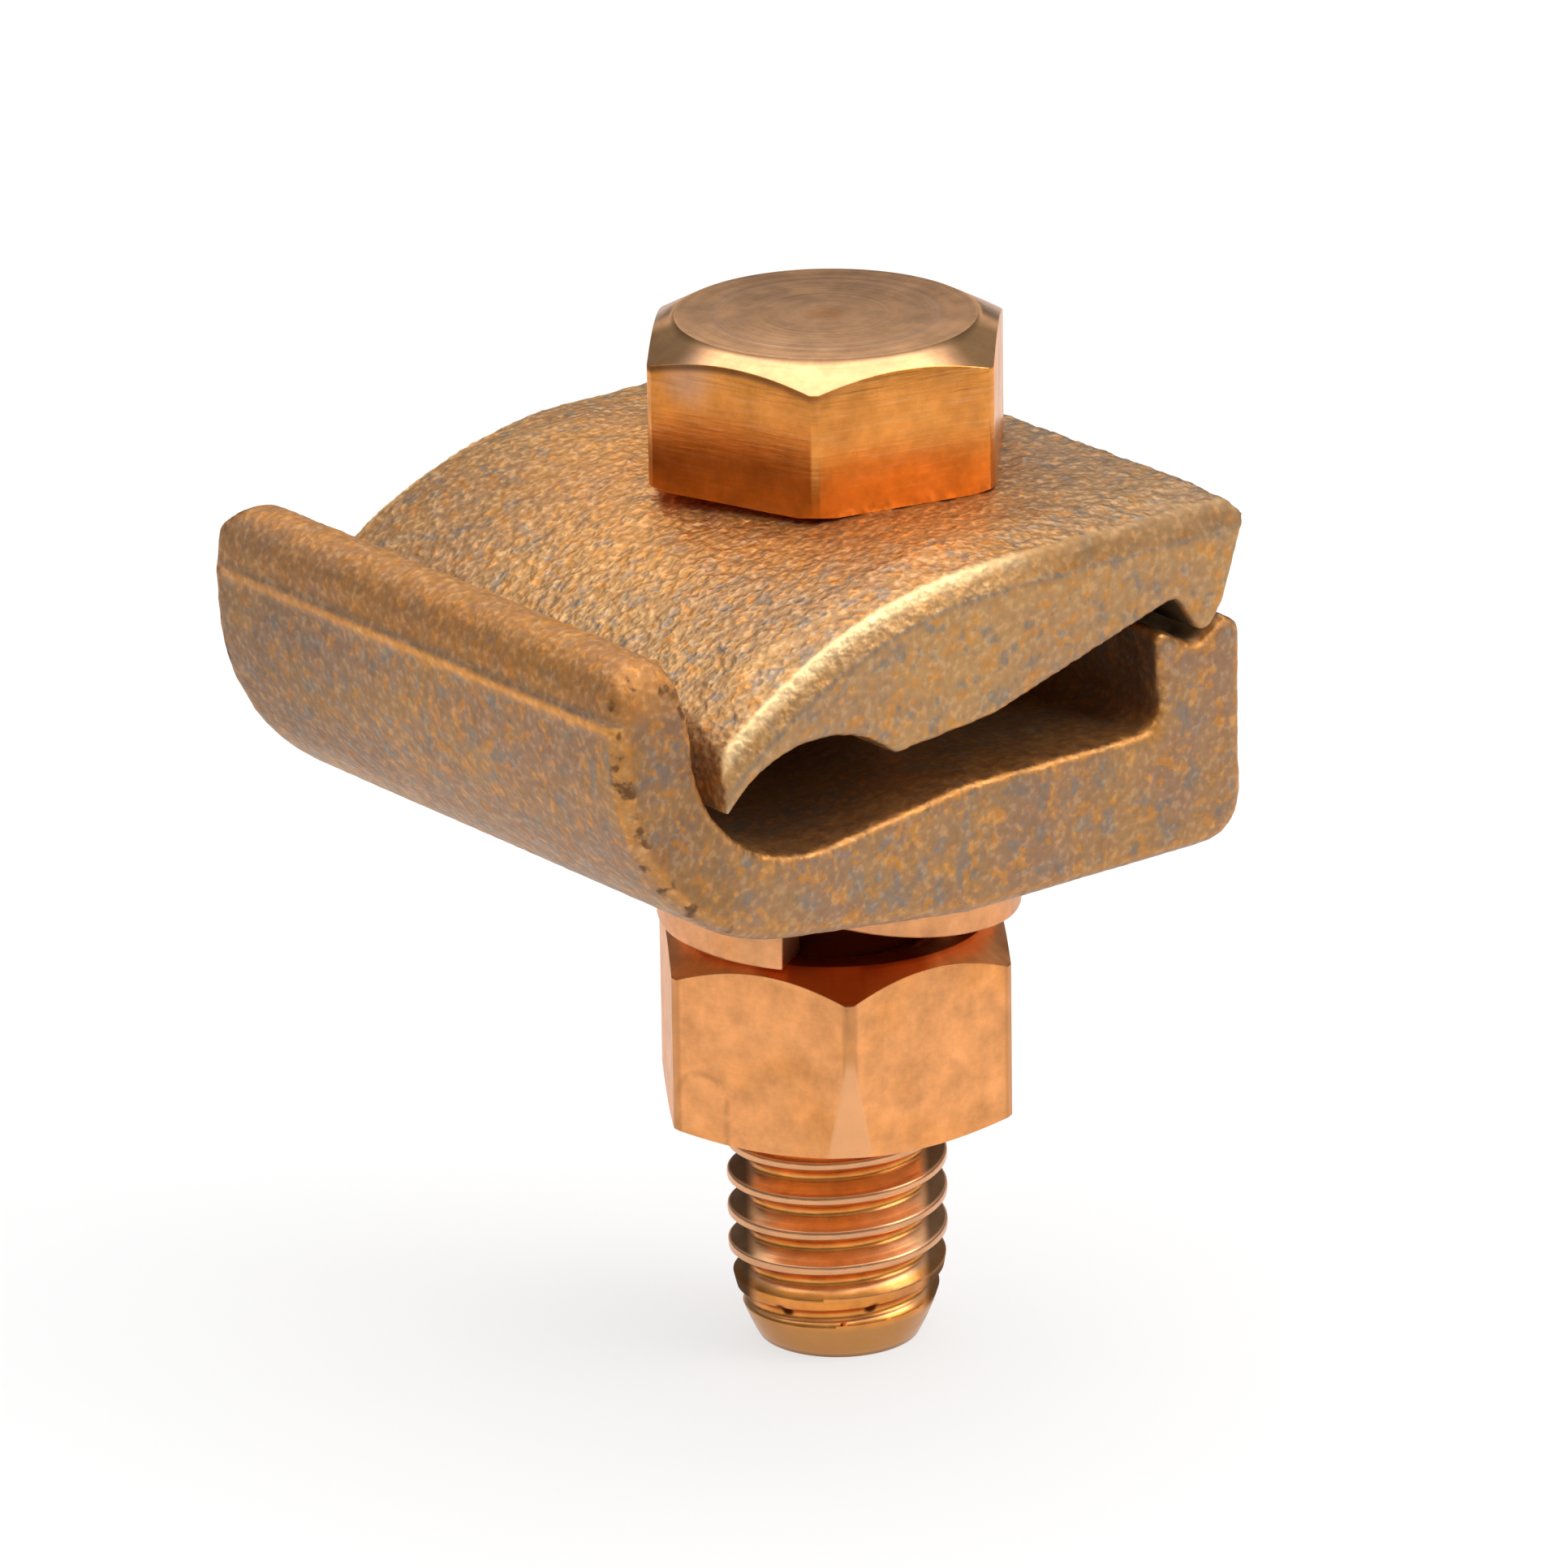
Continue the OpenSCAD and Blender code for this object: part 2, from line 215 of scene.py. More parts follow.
# %% Round the rims
def round_rims(piece, values, rounds):
    weigh(piece, "rims", values)
    apply_modifier(piece, "SMOOTH", factor=SMOOTH_SHARE, iterations=rounds, vertex_group="rims")
    piece.vertex_groups.remove(piece.vertex_groups["rims"])
    print(f"{piece.name}: {np.count_nonzero(values > 0.5)} points rounded {rounds} times")


def distance_to_end(y, high):
    return high.y / MM - np.abs(y)


def on_lip(x, z):
    return fade(z, 4.6, 5.6) * (1 - fade(x, -6, -5))


(x, y, z), (nx, ny, nz) = points_and_normals(cap)
at_tip = 1 - fade(x - cap_low.x / MM, 0.6, 1.4)
under_end = fade(-nz, 0.02, 0.2) * (1 - fade(distance_to_end(y, cap_high), 0.6, 1.2))
round_rims(cap, np.maximum(at_tip, under_end), rounds=8)
(x, y, z), (nx, ny, nz) = points_and_normals(base)
from_end = distance_to_end(y, base_high)
round_rims(base, 1 - fade(from_end, 0.8, 1.6), rounds=12)
round_rims(base, on_lip(x, z) * (1 - fade(from_end, 1.6, 3.2)), rounds=40)

# %% [markdown]
# On the cap the coarse sand is on the crown and on the bevels round it, and the ends are smoother. How
# far a normal leans along the conductor tells a bevel from the crown and from an end. The bolt's seat
# is flat, on the side towards the tooth.

# %% Where things are on the cap
(x, y, z), (nx, ny, nz) = points_and_normals(cap)
upward = fade(nz, 0.1, 0.6)
ending = np.abs(ny)
from_end = distance_to_end(y, cap_high)
from_bolt = np.hypot(x - AXIS.x / MM, y - AXIS.y / MM)
bevel = fade(ending, 0.12, 0.4) * (1 - fade(ending, 0.955, 0.985)) * fade(nz, 0.02, 0.1)
below_bevel = fade(ending, 0.94, 0.96) * (1 - fade(ending, 0.985, 0.998)) * fade(nz, 0.02, 0.1)
arris_highlight = bevel * fade(from_end, 0.24, 0.4) * (1 - fade(from_end, 0.8, 1.1))
tip_side = fade(-nx, 0.4, 0.8) * (1 - fade(x - cap_low.x / MM, 0.6, 1.4))
tooth_flank = fade(x, 17, 18) * fade(-nz, 0.1, 0.4) * fade(-nx, 0.1, 0.4)
far_crown = upward * fade(y, 0, 12) * (1 - fade(x, 2, 10))
toward_seat = fade(x, 6, 13)
seat_half = fade(x, 7, 14)
on_seat = fade(x, 12, 20)
print(f"bevel: {100 * bevel.mean():.1f}% of the cap's skin")

# %% [markdown]
# The outer edge of each bevel, the arris, is painted cream as a painted highlight, less so towards the
# seat. The crown is painted warmer round the bolt, a painted reflection of the head. The far crown, the
# tip's side and the bevels' seat half are browner, and grey oxide lies on the seat and under the bevels.
# The underside is painted darker further in from the ends, a painted shade, and the tooth's inner flank
# is painted black, a painted shade in the gap.

# %% Marks on the cap
mark(cap, "edge", bevel * (1 - 0.6 * toward_seat))
# Painted highlight: cream along the outer edge of each bevel, less towards the seat.
mark(cap, "arris_highlight", arris_highlight * (1 - 0.85 * toward_seat))
coarse = np.maximum(upward * (1 - bevel), 0.4 * bevel * (1 - seat_half))
mark(cap, "coarse", np.maximum(coarse * (1 - 0.5 * on_seat), tip_side))
# Painted reflection: the head's orange on the crown round the bolt.
mark(cap, "warm_tone_and_light", upward * (1 - fade(from_bolt, 8, 15)) * (1 - fade(x, 12, 18)))
mark(cap, "oxide_and_shade", np.maximum(0.4 * upward * on_seat, 0.8 * below_bevel))
mark(cap, "brown", np.max([0.7 * far_crown, 0.6 * tip_side, bevel * seat_half], axis=0))
# Painted shade: the cap's underside darker further in from the ends.
mark(cap, "hollow_shade", fade(-nz, 0.05, 0.4) * fade(from_end, 0.3, 5))
# Painted shade: the tooth's inner flank painted black.
mark(cap, "gap_shade", tooth_flank * fade(from_end, 0.2, 0.6))
weigh(cap, "grain", 0.3 + 0.7 * upward * (1 - 0.5 * bevel))

# %% [markdown]
# The base was moulded in two halves of sand, and their joint left a flash line along the lip. Above
# that line the lip is coarse, and below it the flank came out smoother. The slot between the jaws is
# found by a box round it, and the vee that takes the cap's tooth by its place and its slope.

# %% Where things are on the base
FLASH_HEIGHT = 4.8
SLOT_LEFT, SLOT_RIGHT, SLOT_TOP = -6.3, 22.2, 6.2
(x, y, z), (nx, ny, nz) = points_and_normals(base)
upward = fade(nz, 0.1, 0.6)
ending = np.abs(ny)
from_end = distance_to_end(y, base_high)
rim = fade(ending, 0.1, 0.3) * (1 - fade(ending, 0.95, 0.995)) * (1 - fade(from_end, 1.0, 1.8))
flank = fade(-nx, 0.4, 0.7) * fade(-x, 7, 8)
above_flash = fade(-x, 5, 6) * fade(z, FLASH_HEIGHT, FLASH_HEIGHT + 0.5)
# Painted shade: a grey band just above the flash line.
over_flash = 0.6 * flank * (1 - fade(np.abs(z - FLASH_HEIGHT - 0.3), 0.08, 0.25))
under_rim = 0.7 * rim * fade(-nz, 0.3, 0.7)
dull_flank = 0.4 * flank * fade(y, -2, 12)
hook_end = fade(ending, 0.9, 0.98) * fade(-x, 3, 5)
inside = (x > SLOT_LEFT) & (x < SLOT_RIGHT) & (z < SLOT_TOP) & (nz > -0.3)
# Painted light: the front of the slot's floor made lighter and warmer.
lit_floor = inside * upward * (1 - fade(from_end, 1, 4))
# Painted shade: the slot darker further in from the ends.
hollow_shade = inside * (1 - fade(ending, 0.6, 0.9))
vee = fade(x, 18.5, 19) * fade(nz, 0.1, 0.3)
print(f"slot: {100 * inside.mean():.1f}% of the base's skin")

# %% [markdown]
# The rims are pitted, where gas was trapped, most of all on the hook. The lip is warmer than the rest,
# and the front of the slot's floor is painted lighter and warmer, a painted pool of light. Further in,
# the slot is painted darker, a painted shade, and the vee is painted black, a painted shade under the
# tooth. The flash line is painted bright, a painted highlight, with a grey band of painted shade over
# it, and the flank grows greyer, browner and duller towards its far end.

# %% Marks on the base
coarse = np.maximum(above_flash * (1 - fade(ending, 0.5, 0.95)), 0.3 * rim)
mark(base, "edge", rim * (1 - 0.5 * on_lip(x, z)))
mark(base, "pitted", rim * np.maximum(fade(-x, 3, 5), 0.5 * inside))
mark(base, "coarse", 0.4 * coarse)
# The lip's warmer tone, and painted light on the front of the slot's floor.
mark(base, "warm_tone_and_light", np.maximum(0.8 * above_flash, lit_floor))
# Painted shade inside the slot, reaching furthest in the vee.
mark(base, "hollow_shade", hollow_shade * fade(from_end, 0.3, 12 - 11 * vee))
# Painted shade: the vee under the tooth painted black.
mark(base, "gap_shade", hollow_shade * vee * fade(from_end, 0.3, 1))
# Painted highlight: a warm bright line along the flash line.
mark(base, "flash", flank * (1 - fade(np.abs(z - FLASH_HEIGHT + 0.1), 0.12, 0.3)))
# Grey: painted shade above the flash line, with grey on the downward rims and the far flank.
mark(base, "oxide_and_shade", np.max([over_flash, under_rim, dull_flank], axis=0))
mark(base, "brown", np.max([0.5 * hook_end, 0.7 * above_flash, dull_flank], axis=0))
weigh(base, "grain", 0.3 + 0.7 * np.maximum(0.5 * coarse, 0.6 * upward) * (1 - 0.6 * rim))
weigh(base, "pits", rim * fade(-x, 6.5, 7.5))

# %% [markdown]
# Three layers raise the skin, each a Displace modifier with its own texture: a cell pattern leaves the
# pits on the hook's rims, slow lumps come from the ramming of the mould, and a fine noise is the sand
# itself. A bump in the finish would be quicker, but it can't change the outline, and this grain does.

# %% Raise the grain
LUMP_HEIGHT = 0.12 * MM
SAND_HEIGHT = 0.13 * MM
PIT_HEIGHT = 0.1 * MM


def sand_texture(name, size, depth):
    texture = bpy.data.textures.new(name, type="CLOUDS")
    texture.noise_scale = size
    texture.noise_depth = depth
    return texture


def raise_grain(piece, texture, height, group="grain"):
    apply_modifier(piece, "DISPLACE", texture=texture, texture_coords="LOCAL", strength=height,
                   mid_level=0.5, vertex_group=group)


lumps = sand_texture("mould_lumps", size=2.0 * MM, depth=2)
sand = sand_texture("sand_grain", size=0.45 * MM, depth=1)
cells = bpy.data.textures.new("gas_pits", type="VORONOI")
cells.noise_scale = 1.1 * MM
raise_grain(base, cells, PIT_HEIGHT, "pits")
for casting in (cap, base):
    raise_grain(casting, lumps, LUMP_HEIGHT)
    raise_grain(casting, sand, SAND_HEIGHT)
    print(triangles(casting))

# %% [markdown]
# ## Turned and threaded pieces
# A bolt is made of two shapes that meet: a hexagon that was forged or drawn, and a cone that was
# turned on it. By hand, the turned shape is a profile drawn point by point, by extruding one vertex,
# and then spun round the axis. A spin can come out inside out, so its normals are recalculated.

# %% Draw a line and spin it
SPIN_STEPS = 144


def draw_line(name, points):
    bpy.ops.object.select_all(action="DESELECT")
    bpy.ops.mesh.primitive_plane_add(size=MM)
    line = bpy.context.active_object
    line.name = name
    bpy.ops.object.mode_set(mode="EDIT")
    bpy.ops.mesh.select_mode(type="VERT")
    bpy.ops.mesh.select_all(action="SELECT")
    bpy.ops.mesh.merge(type="CENTER")
    bpy.ops.transform.translate(value=points[0])
    for start, end in zip(points, points[1:]):
        bpy.ops.mesh.extrude_vertices_move(TRANSFORM_OT_translate={"value": end - start})
    bpy.ops.object.mode_set(mode="OBJECT")
    return line


def turned(name, profile):
    piece = draw_line(name, [AXIS + Vector((radius, 0, height)) for radius, height in profile])
    bpy.ops.object.mode_set(mode="EDIT")
    bpy.ops.mesh.select_all(action="SELECT")
    bpy.ops.mesh.spin(steps=SPIN_STEPS, angle=math.tau, center=AXIS, axis=(0, 0, 1))
    bpy.ops.object.mode_set(mode="OBJECT")
    merge_doubles(piece, recalculate=True)
    return piece


# %% [markdown]
# The hexagon is a six-sided cylinder, turned so that its corners stand as on the real piece. A Boolean
# modifier keeps what lies both in it and in the turned shape, and that gives the curved upper edge of
# each flat. The corners are trimmed too, a little inside the full hexagon.

# %% Hexagons, profiles and Booleans
ACROSS_FLATS = 14.29 * MM
CORNER_RADIUS = 8.15 * MM
UNDER_CHAMFER = math.radians(20)


def hexagon(name, low, high, turn):
    bpy.ops.object.select_all(action="DESELECT")
    middle = AXIS + Vector((0, 0, (low + high) / 2))
    bpy.ops.mesh.primitive_cylinder_add(vertices=6, radius=ACROSS_FLATS / math.sqrt(3),
                                        depth=high - low, location=middle, rotation=(0, 0, turn))
    piece = bpy.context.active_object
    piece.name = name
    bpy.ops.object.transform_apply(location=True, rotation=True, scale=True)
    return piece


def trimmed(low, high, bottom_radius, top_radius, top_slope):
    rise = (CORNER_RADIUS - bottom_radius) * math.tan(UNDER_CHAMFER)
    fall = (CORNER_RADIUS - top_radius) * math.tan(top_slope)
    return [(0, low), (bottom_radius, low), (CORNER_RADIUS, low + rise), (CORNER_RADIUS, high - fall),
            (top_radius, high), (0, high)]


def combine(piece, other, operation):
    apply_modifier(piece, "BOOLEAN", object=other, operation=operation, solver="EXACT")
    click(other)
    bpy.ops.object.delete()


# %% [markdown]
# No real edge is perfectly sharp. A narrow bevel gives each edge a line that catches the light, and
# weighted normals keep the flats flat beside it.

# %% Soften the edges
EDGE_ANGLE = math.radians(22)
SMOOTH_ANGLE = math.radians(40)


def soften(piece, width):
    apply_modifier(piece, "BEVEL", width=width, segments=2, limit_method="ANGLE",
                   angle_limit=EDGE_ANGLE)
    click(piece)
    bpy.ops.object.shade_smooth_by_angle(angle=SMOOTH_ANGLE)
    apply_modifier(piece, "WEIGHTED_NORMAL", keep_sharp=True)
    print(triangles(piece))


# %% [markdown]
# ## The thread
# A rolled thread is one tooth of the profile carried along a helix. The Screw modifier does just
# that: the profile is one pitch tall, so each turn joins the one below, and the turns are then welded.
# A tooth is a list of points: how far along the pitch, and how far from the root to the crest.

# %% One tooth, carried along its helix
PITCH = 1.5875 * MM
CREST = 4.7 * MM
ROOT = 3.86 * MM
THREAD_PHASE = 0.74
SPARE_TURNS = 2
THREAD_STEPS = 96
TOOTH = [(0, 0), (0.08, 0.02), (0.15, 0.12), (0.37, 0.9), (0.41, 0.98), (0.5, 1), (0.59, 0.98),
         (0.63, 0.9), (0.85, 0.12), (0.92, 0.02), (1, 0)]


def helix(name, low, high):
    turns = math.ceil((high - low) / PITCH) + 2 * SPARE_TURNS
    start = (math.floor(low / PITCH) - SPARE_TURNS + THREAD_PHASE - 0.5) * PITCH
    tooth = [Vector((ROOT + (CREST - ROOT) * rise, 0, PITCH * along)) for along, rise in TOOTH]
    piece = draw_line(name, tooth)
    piece.location = AXIS + Vector((0, 0, start))
    apply_modifier(piece, "SCREW", angle=math.tau, screw_offset=PITCH, iterations=turns, axis="Z",
                   steps=THREAD_STEPS, render_steps=THREAD_STEPS)
    click(piece)
    bpy.ops.object.transform_apply(location=True, rotation=True, scale=True)
    merge_doubles(piece)
    return piece


# %% [markdown]
# The helix is open at both ends, and a Boolean needs a solid. Each end is closed as a fan to the axis:
# its open edges are selected by their height, extruded and merged to one point.

# %% Close the ends
def close_end(piece, low_end):
    bpy.ops.object.mode_set(mode="EDIT")
    bpy.ops.mesh.select_mode(type="EDGE")
    bpy.ops.mesh.select_all(action="DESELECT")
    bpy.ops.mesh.select_non_manifold(extend=False)
    bpy.ops.object.mode_set(mode="OBJECT")
    heights = [vertex.co.z for vertex in piece.data.vertices]
    middle = (min(heights) + max(heights)) / 2
    for edge in piece.data.edges:
        here = sum(piece.data.vertices[i].co.z for i in edge.vertices) / 2
        edge.select = edge.select and (here < middle) == low_end
    bpy.ops.object.mode_set(mode="EDIT")
    bpy.ops.mesh.extrude_region_move()
    bpy.ops.mesh.merge(type="CENTER")
    bpy.ops.object.mode_set(mode="OBJECT")


def thread(name, low, high):
    piece = helix(name, low, high)
    close_end(piece, low_end=True)
    close_end(piece, low_end=False)
    merge_doubles(piece, recalculate=True)
    print(triangles(piece))
    return piece


# %% [markdown]
# ## The bolt
# The thread is trimmed by a turned shape with the shank's own outline. Its end curves in over the
# last turns, as a rolled end does, so the crests there get lower and flatter. The plain shank above
# the thread is then joined to it.

# %% Thread and shank
THREAD_TOP = SEAT - 16 * MM
TIP_RADIUS = 3.45 * MM
TIP_LENGTH = 4.8 * MM
TIP_STEPS = 14


def rolled_end():
    drop = CREST - TIP_RADIUS
    arc = (TIP_LENGTH ** 2 + drop ** 2) / (2 * drop)
    heights = [TIP + TIP_LENGTH * step / TIP_STEPS for step in range(TIP_STEPS + 1)]
    return [(CREST - arc + math.sqrt(arc ** 2 - (TIP + TIP_LENGTH - z) ** 2), z) for z in heights]


bolt = thread("threaded_bolt", TIP, THREAD_TOP)
outline = turned("shank_outline", [(0, TIP), *rolled_end(), (CREST, THREAD_TOP), (0, THREAD_TOP)])
combine(bolt, outline, "INTERSECT")
shank = turned("plain_shank", [(0, THREAD_TOP - PITCH), (ROOT, THREAD_TOP - PITCH),
                               (CREST, THREAD_TOP - 0.3 * PITCH), (CREST, SEAT + MM), (0, SEAT + MM)])
combine(bolt, shank, "UNION")
print(triangles(bolt))

# %% [markdown]
# The head is a hexagon with a wide chamfer above and a slight one below. Blender's own hexagon has a
# corner at 30 degrees, so a turn is counted from there. The head is softened before it joins the
# shank, because a bevel on the whole bolt would also blunt the thread.

# %% Head
HEX_START = math.radians(30)
HEAD_TURN = math.radians(48) - HEX_START
HEAD_TOP_RADIUS = 6.3 * MM
HEAD_BOTTOM_RADIUS = 7.8 * MM
HEAD_CHAMFER = math.radians(28)
THREAD_SMOOTH = math.radians(35)
head = hexagon("bolt_head", SEAT, bolt_high.z, HEAD_TURN)
cone = turned("head_cone", trimmed(SEAT, bolt_high.z, HEAD_BOTTOM_RADIUS, HEAD_TOP_RADIUS, HEAD_CHAMFER))
combine(head, cone, "INTERSECT")
soften(head, width=0.14 * MM)
combine(bolt, head, "UNION")
click(bolt)
bpy.ops.object.shade_smooth_by_angle(angle=THREAD_SMOOTH)
print(triangles(bolt))

# %% [markdown]
# ## The nut
# The nut is the same hexagon, taller, with a cone at both ends and a bore that is countersunk. A real
# bore is threaded. This one is plain, because the bolt fills it and hides it.

# %% Hexagon, cones and bore
NUT_TURN = math.radians(56) - HEX_START
NUT_TOP_RADIUS = 6.6 * MM
NUT_BOTTOM_RADIUS = 6.9 * MM
NUT_CHAMFER = math.radians(38)
BORE = 4.75 * MM
SINK = 0.7 * MM
nut = hexagon("worn_nut", nut_low.z, nut_high.z, NUT_TURN)
nut_cones = turned("nut_cones", trimmed(nut_low.z, nut_high.z, NUT_BOTTOM_RADIUS, NUT_TOP_RADIUS,
                                        NUT_CHAMFER))
combine(nut, nut_cones, "INTERSECT")
bore = turned("bore", [(0, nut_low.z - MM), (BORE + SINK + MM, nut_low.z - MM), (BORE, nut_low.z + SINK),
                       (BORE, nut_high.z - SINK), (BORE + SINK + MM, nut_high.z + MM),
                       (0, nut_high.z + MM)])
combine(nut, bore, "DIFFERENCE")
print(triangles(nut))

# %% [markdown]
# A spanner wore the lower half of one corner to a narrow wedge. A bisect cuts it off in one stroke,
# with the plane leaning so that the wedge widens downward, and it fills the cut.

# %% The worn corner
WORN_CORNER = NUT_TURN + HEX_START + math.pi
WORN_FROM = -16.3 * MM
WORN_LEAN = math.radians(6)
outward = Vector((math.cos(WORN_CORNER), math.sin(WORN_CORNER), 0))
worn_point = AXIS + outward * CORNER_RADIUS + Vector((0, 0, WORN_FROM))
worn_facing = outward * math.cos(WORN_LEAN) - Vector((0, 0, math.sin(WORN_LEAN)))
click(nut)
bpy.ops.object.mode_set(mode="EDIT")
bpy.ops.mesh.select_all(action="SELECT")
bpy.ops.mesh.bisect(plane_co=worn_point, plane_no=worn_facing, use_fill=True, clear_outer=True)
bpy.ops.object.mode_set(mode="OBJECT")
soften(nut, width=0.1 * MM)

# %% [markdown]
# ## The split lock washer
# The solid is already a ring of square wire that springs open, so a copy of it only needs its edges
# broken, as on rolled wire.

# %% A copy with broken edges
washer = copy_of("lock_washer", "split_washer")
soften(washer, width=0.2 * MM)

# %% [markdown]
# ## Finishes
# Every finish reads Object coordinates, so a pattern stays on its piece when the clamp opens. In the
# Shader Editor you add nodes and draw links by hand. These helpers add a node, feed a socket with a
# link or with a plain value, and blend two colours.

# %% Nodes and colours
def new_finish(name):
    finish = bpy.data.materials.new(name)
    finish.use_nodes = True
    return finish, finish.node_tree, finish.node_tree.nodes["Principled BSDF"]


def feed(tree, socket, value):
    if isinstance(value, bpy.types.NodeSocket):
        tree.links.new(value, socket)
    else:
        socket.default_value = value


def node(tree, kind, inputs=None, **settings):
    made = tree.nodes.new("ShaderNode" + kind)
    for name, value in settings.items():
        setattr(made, name, value)
    for name, value in (inputs or {}).items():
        feed(tree, made.inputs[name], value)
    return made


def blend(tree, factor, first, second, how="MIX"):
    made = node(tree, "Mix", data_type="RGBA", blend_type=how)
    feed(tree, made.inputs["Factor"], factor)
    for socket, value in zip(made.inputs[6:8], (first, second)):
        feed(tree, socket, (*value, 1) if isinstance(value, tuple) else value)
    return made.outputs[2]


# %% [markdown]
# A mask is a value from 0 to 1 that says where a colour goes. It starts at its low value and is full
# at its high one, as a fade does on the mesh. Two masks are joined by multiplying them, where both
# hold, or by taking the larger, where either does. A noise stays mostly between 0.3 and 0.7, so spread
# stretches that part of it over a range.

# %% Masks and noise
def compute(tree, operation, first, second=0.0):
    return node(tree, "Math", {0: first, 1: second}, operation=operation).outputs[0]


def both(tree, first, second):
    return compute(tree, "MULTIPLY", first, second)


def either(tree, first, second):
    return compute(tree, "MAXIMUM", first, second)


def weaken(tree, value, share):
    return compute(tree, "MULTIPLY", value, share)


def mask(tree, value, low, high):
    made = node(tree, "MapRange", {"Value": value, "From Min": low, "From Max": high},
                interpolation_type="SMOOTHSTEP")
    return made.outputs["Result"]


def between(tree, share, low, high):
    return node(tree, "MapRange", {"Value": share, "To Min": low, "To Max": high}).outputs["Result"]


def spread(tree, value, low, high):
    made = node(tree, "MapRange", {"Value": value, "From Min": 0.3, "From Max": 0.7, "To Min": low,
                                   "To Max": high})
    return made.outputs["Result"]


def noise(tree, place, size, detail=3, roughness=0.55):
    made = node(tree, "TexNoise", {"Vector": place, "Scale": 1 / size, "Detail": detail,
                                   "Roughness": roughness})
    return made.outputs["Fac"]


# %% [markdown]
# ### Sand-cast bronze
# A raw casting is mottled: tan where the bronze shows, orange where it is fresh, and grey to blue-grey
# where the oxide is thick. Three noises of different sizes give the patches, the orange specks and the
# oxide. A photo could be wrapped on it instead, but a procedural pattern has no seams.

# %% Mottled oxide
FRESH_ORANGE = (0.62, 0.27, 0.06)
BLUE_GREY = (0.26, 0.215, 0.175)


def mottled(tree, place, tan, grey):
    patches = mask(tree, noise(tree, place, 4.5 * MM, detail=4), 0.40, 0.60)
    colour = blend(tree, patches, tan, grey)
    specks = mask(tree, noise(tree, place, 0.55 * MM), 0.52, 0.64)
    colour = blend(tree, weaken(tree, specks, 0.7), colour, FRESH_ORANGE)
    oxide = mask(tree, noise(tree, place, 0.9 * MM, detail=4, roughness=0.6), 0.53, 0.64)
    return blend(tree, weaken(tree, oxide, 0.7), colour, BLUE_GREY)


# %% [markdown]
# Over the mottling come the marks that the skins carry, each with its own colour and share. Some are
# painted light: the arris and the flash line carry painted highlights, the warmth round the bolt is a
# painted reflection, the front of the slot's floor a painted pool of light, and part of the grey mark is
# painted shade. An Attribute node reads a mark by its name, and gives nothing where a skin has no such
# mark. The pitted rims hold brown dirt, and a noise breaks it into single holes.

# %% Colours of the marks
WARM_BRONZE = (0.80, 0.35, 0.08)
DUST_BROWN = (0.13, 0.065, 0.02)
# Cream of rubbed points and of painted highlights.
RUB_AND_HIGHLIGHT_CREAM = (0.95, 0.66, 0.34)
PIT_BROWN = (0.12, 0.045, 0.015)


def attribute(tree, name):
    return node(tree, "Attribute", attribute_name=name).outputs["Fac"]


def marked(tree, place, colour, rim):
    for name, share, tint in (("brown", 0.3, DUST_BROWN), ("warm_tone_and_light", 0.4, WARM_BRONZE),
                              ("edge", 0.5, rim), ("flash", 0.8, WARM_BRONZE),
                              ("oxide_and_shade", 0.6, BLUE_GREY), ("arris_highlight", 0.95, RUB_AND_HIGHLIGHT_CREAM)):
        colour = blend(tree, weaken(tree, attribute(tree, name), share), colour, tint)
    holes = mask(tree, noise(tree, place, 0.9 * MM), 0.52, 0.64)
    holes = both(tree, holes, attribute(tree, "pitted"))
    return blend(tree, weaken(tree, holes, 0.8), colour, PIT_BROWN)


# %% [markdown]
# A fine noise, the stipple, gives the print of single grains. Where the skin is coarse the high points
# are painted bright, partly rubbed metal and partly a painted highlight, a few grains get painted
# glints, and the low points hold brown dust. The Pointiness output tells high points from low ones,
# which a texture alone can't do.

# %% Colours of the grains
def sanded(tree, colour, coarse, stipple):
    swing = both(tree, spread(tree, stipple, -1, 1), between(tree, coarse, 0.10, 0.22))
    colour = blend(tree, 1.0, colour, compute(tree, "ADD", swing, 1.0), how="MULTIPLY")
    pointed = node(tree, "NewGeometry").outputs["Pointiness"]
    dust = weaken(tree, mask(tree, pointed, 0.48, 0.42), 0.4)
    colour = blend(tree, dust, colour, DUST_BROWN)
    # Painted highlight, partly rubbed metal: cream on the high points.
    rub_and_highlight = both(tree, mask(tree, pointed, 0.51, 0.58), coarse)
    colour = blend(tree, weaken(tree, rub_and_highlight, 0.5), colour, RUB_AND_HIGHLIGHT_CREAM)
    # Painted glints: cream on the peaks of single grains.
    glints = both(tree, mask(tree, stipple, 0.56, 0.68), between(tree, coarse, 0.10, 0.18))
    return blend(tree, glints, colour, RUB_AND_HIGHLIGHT_CREAM)


# %% [markdown]
# Last come the painted shade and the shine. Between the jaws the skin is painted darker, a painted
# shade, and made less metallic there, and the gaps round the tooth are painted a patchy black and made
# rougher, a painted shade too. Browned parts are duller too. The base is greyer than the cap, and its
# rims are more orange.

# %% The castings' finish
TAN = (0.51, 0.29, 0.122)
GREY_TAN = (0.45, 0.26, 0.127)
WARM_TAN = (0.56, 0.31, 0.12)
PINK_GREY = (0.37, 0.21, 0.12)
BROWN_TAN = (0.42, 0.23, 0.10)
# Painted shade colours: brown between the jaws, black in the gaps round the tooth.
HOLLOW_SHADE_BROWN = (0.24, 0.13, 0.045)
GAP_SHADE_BLACK = (0.02, 0.011, 0.005)
HOLLOW_SHADE_SHARE = 0.8
CAST_METALLIC = 0.9
CAST_ROUGHNESS = (0.40, 0.58)
PLAIN_SPECULAR = 0.5


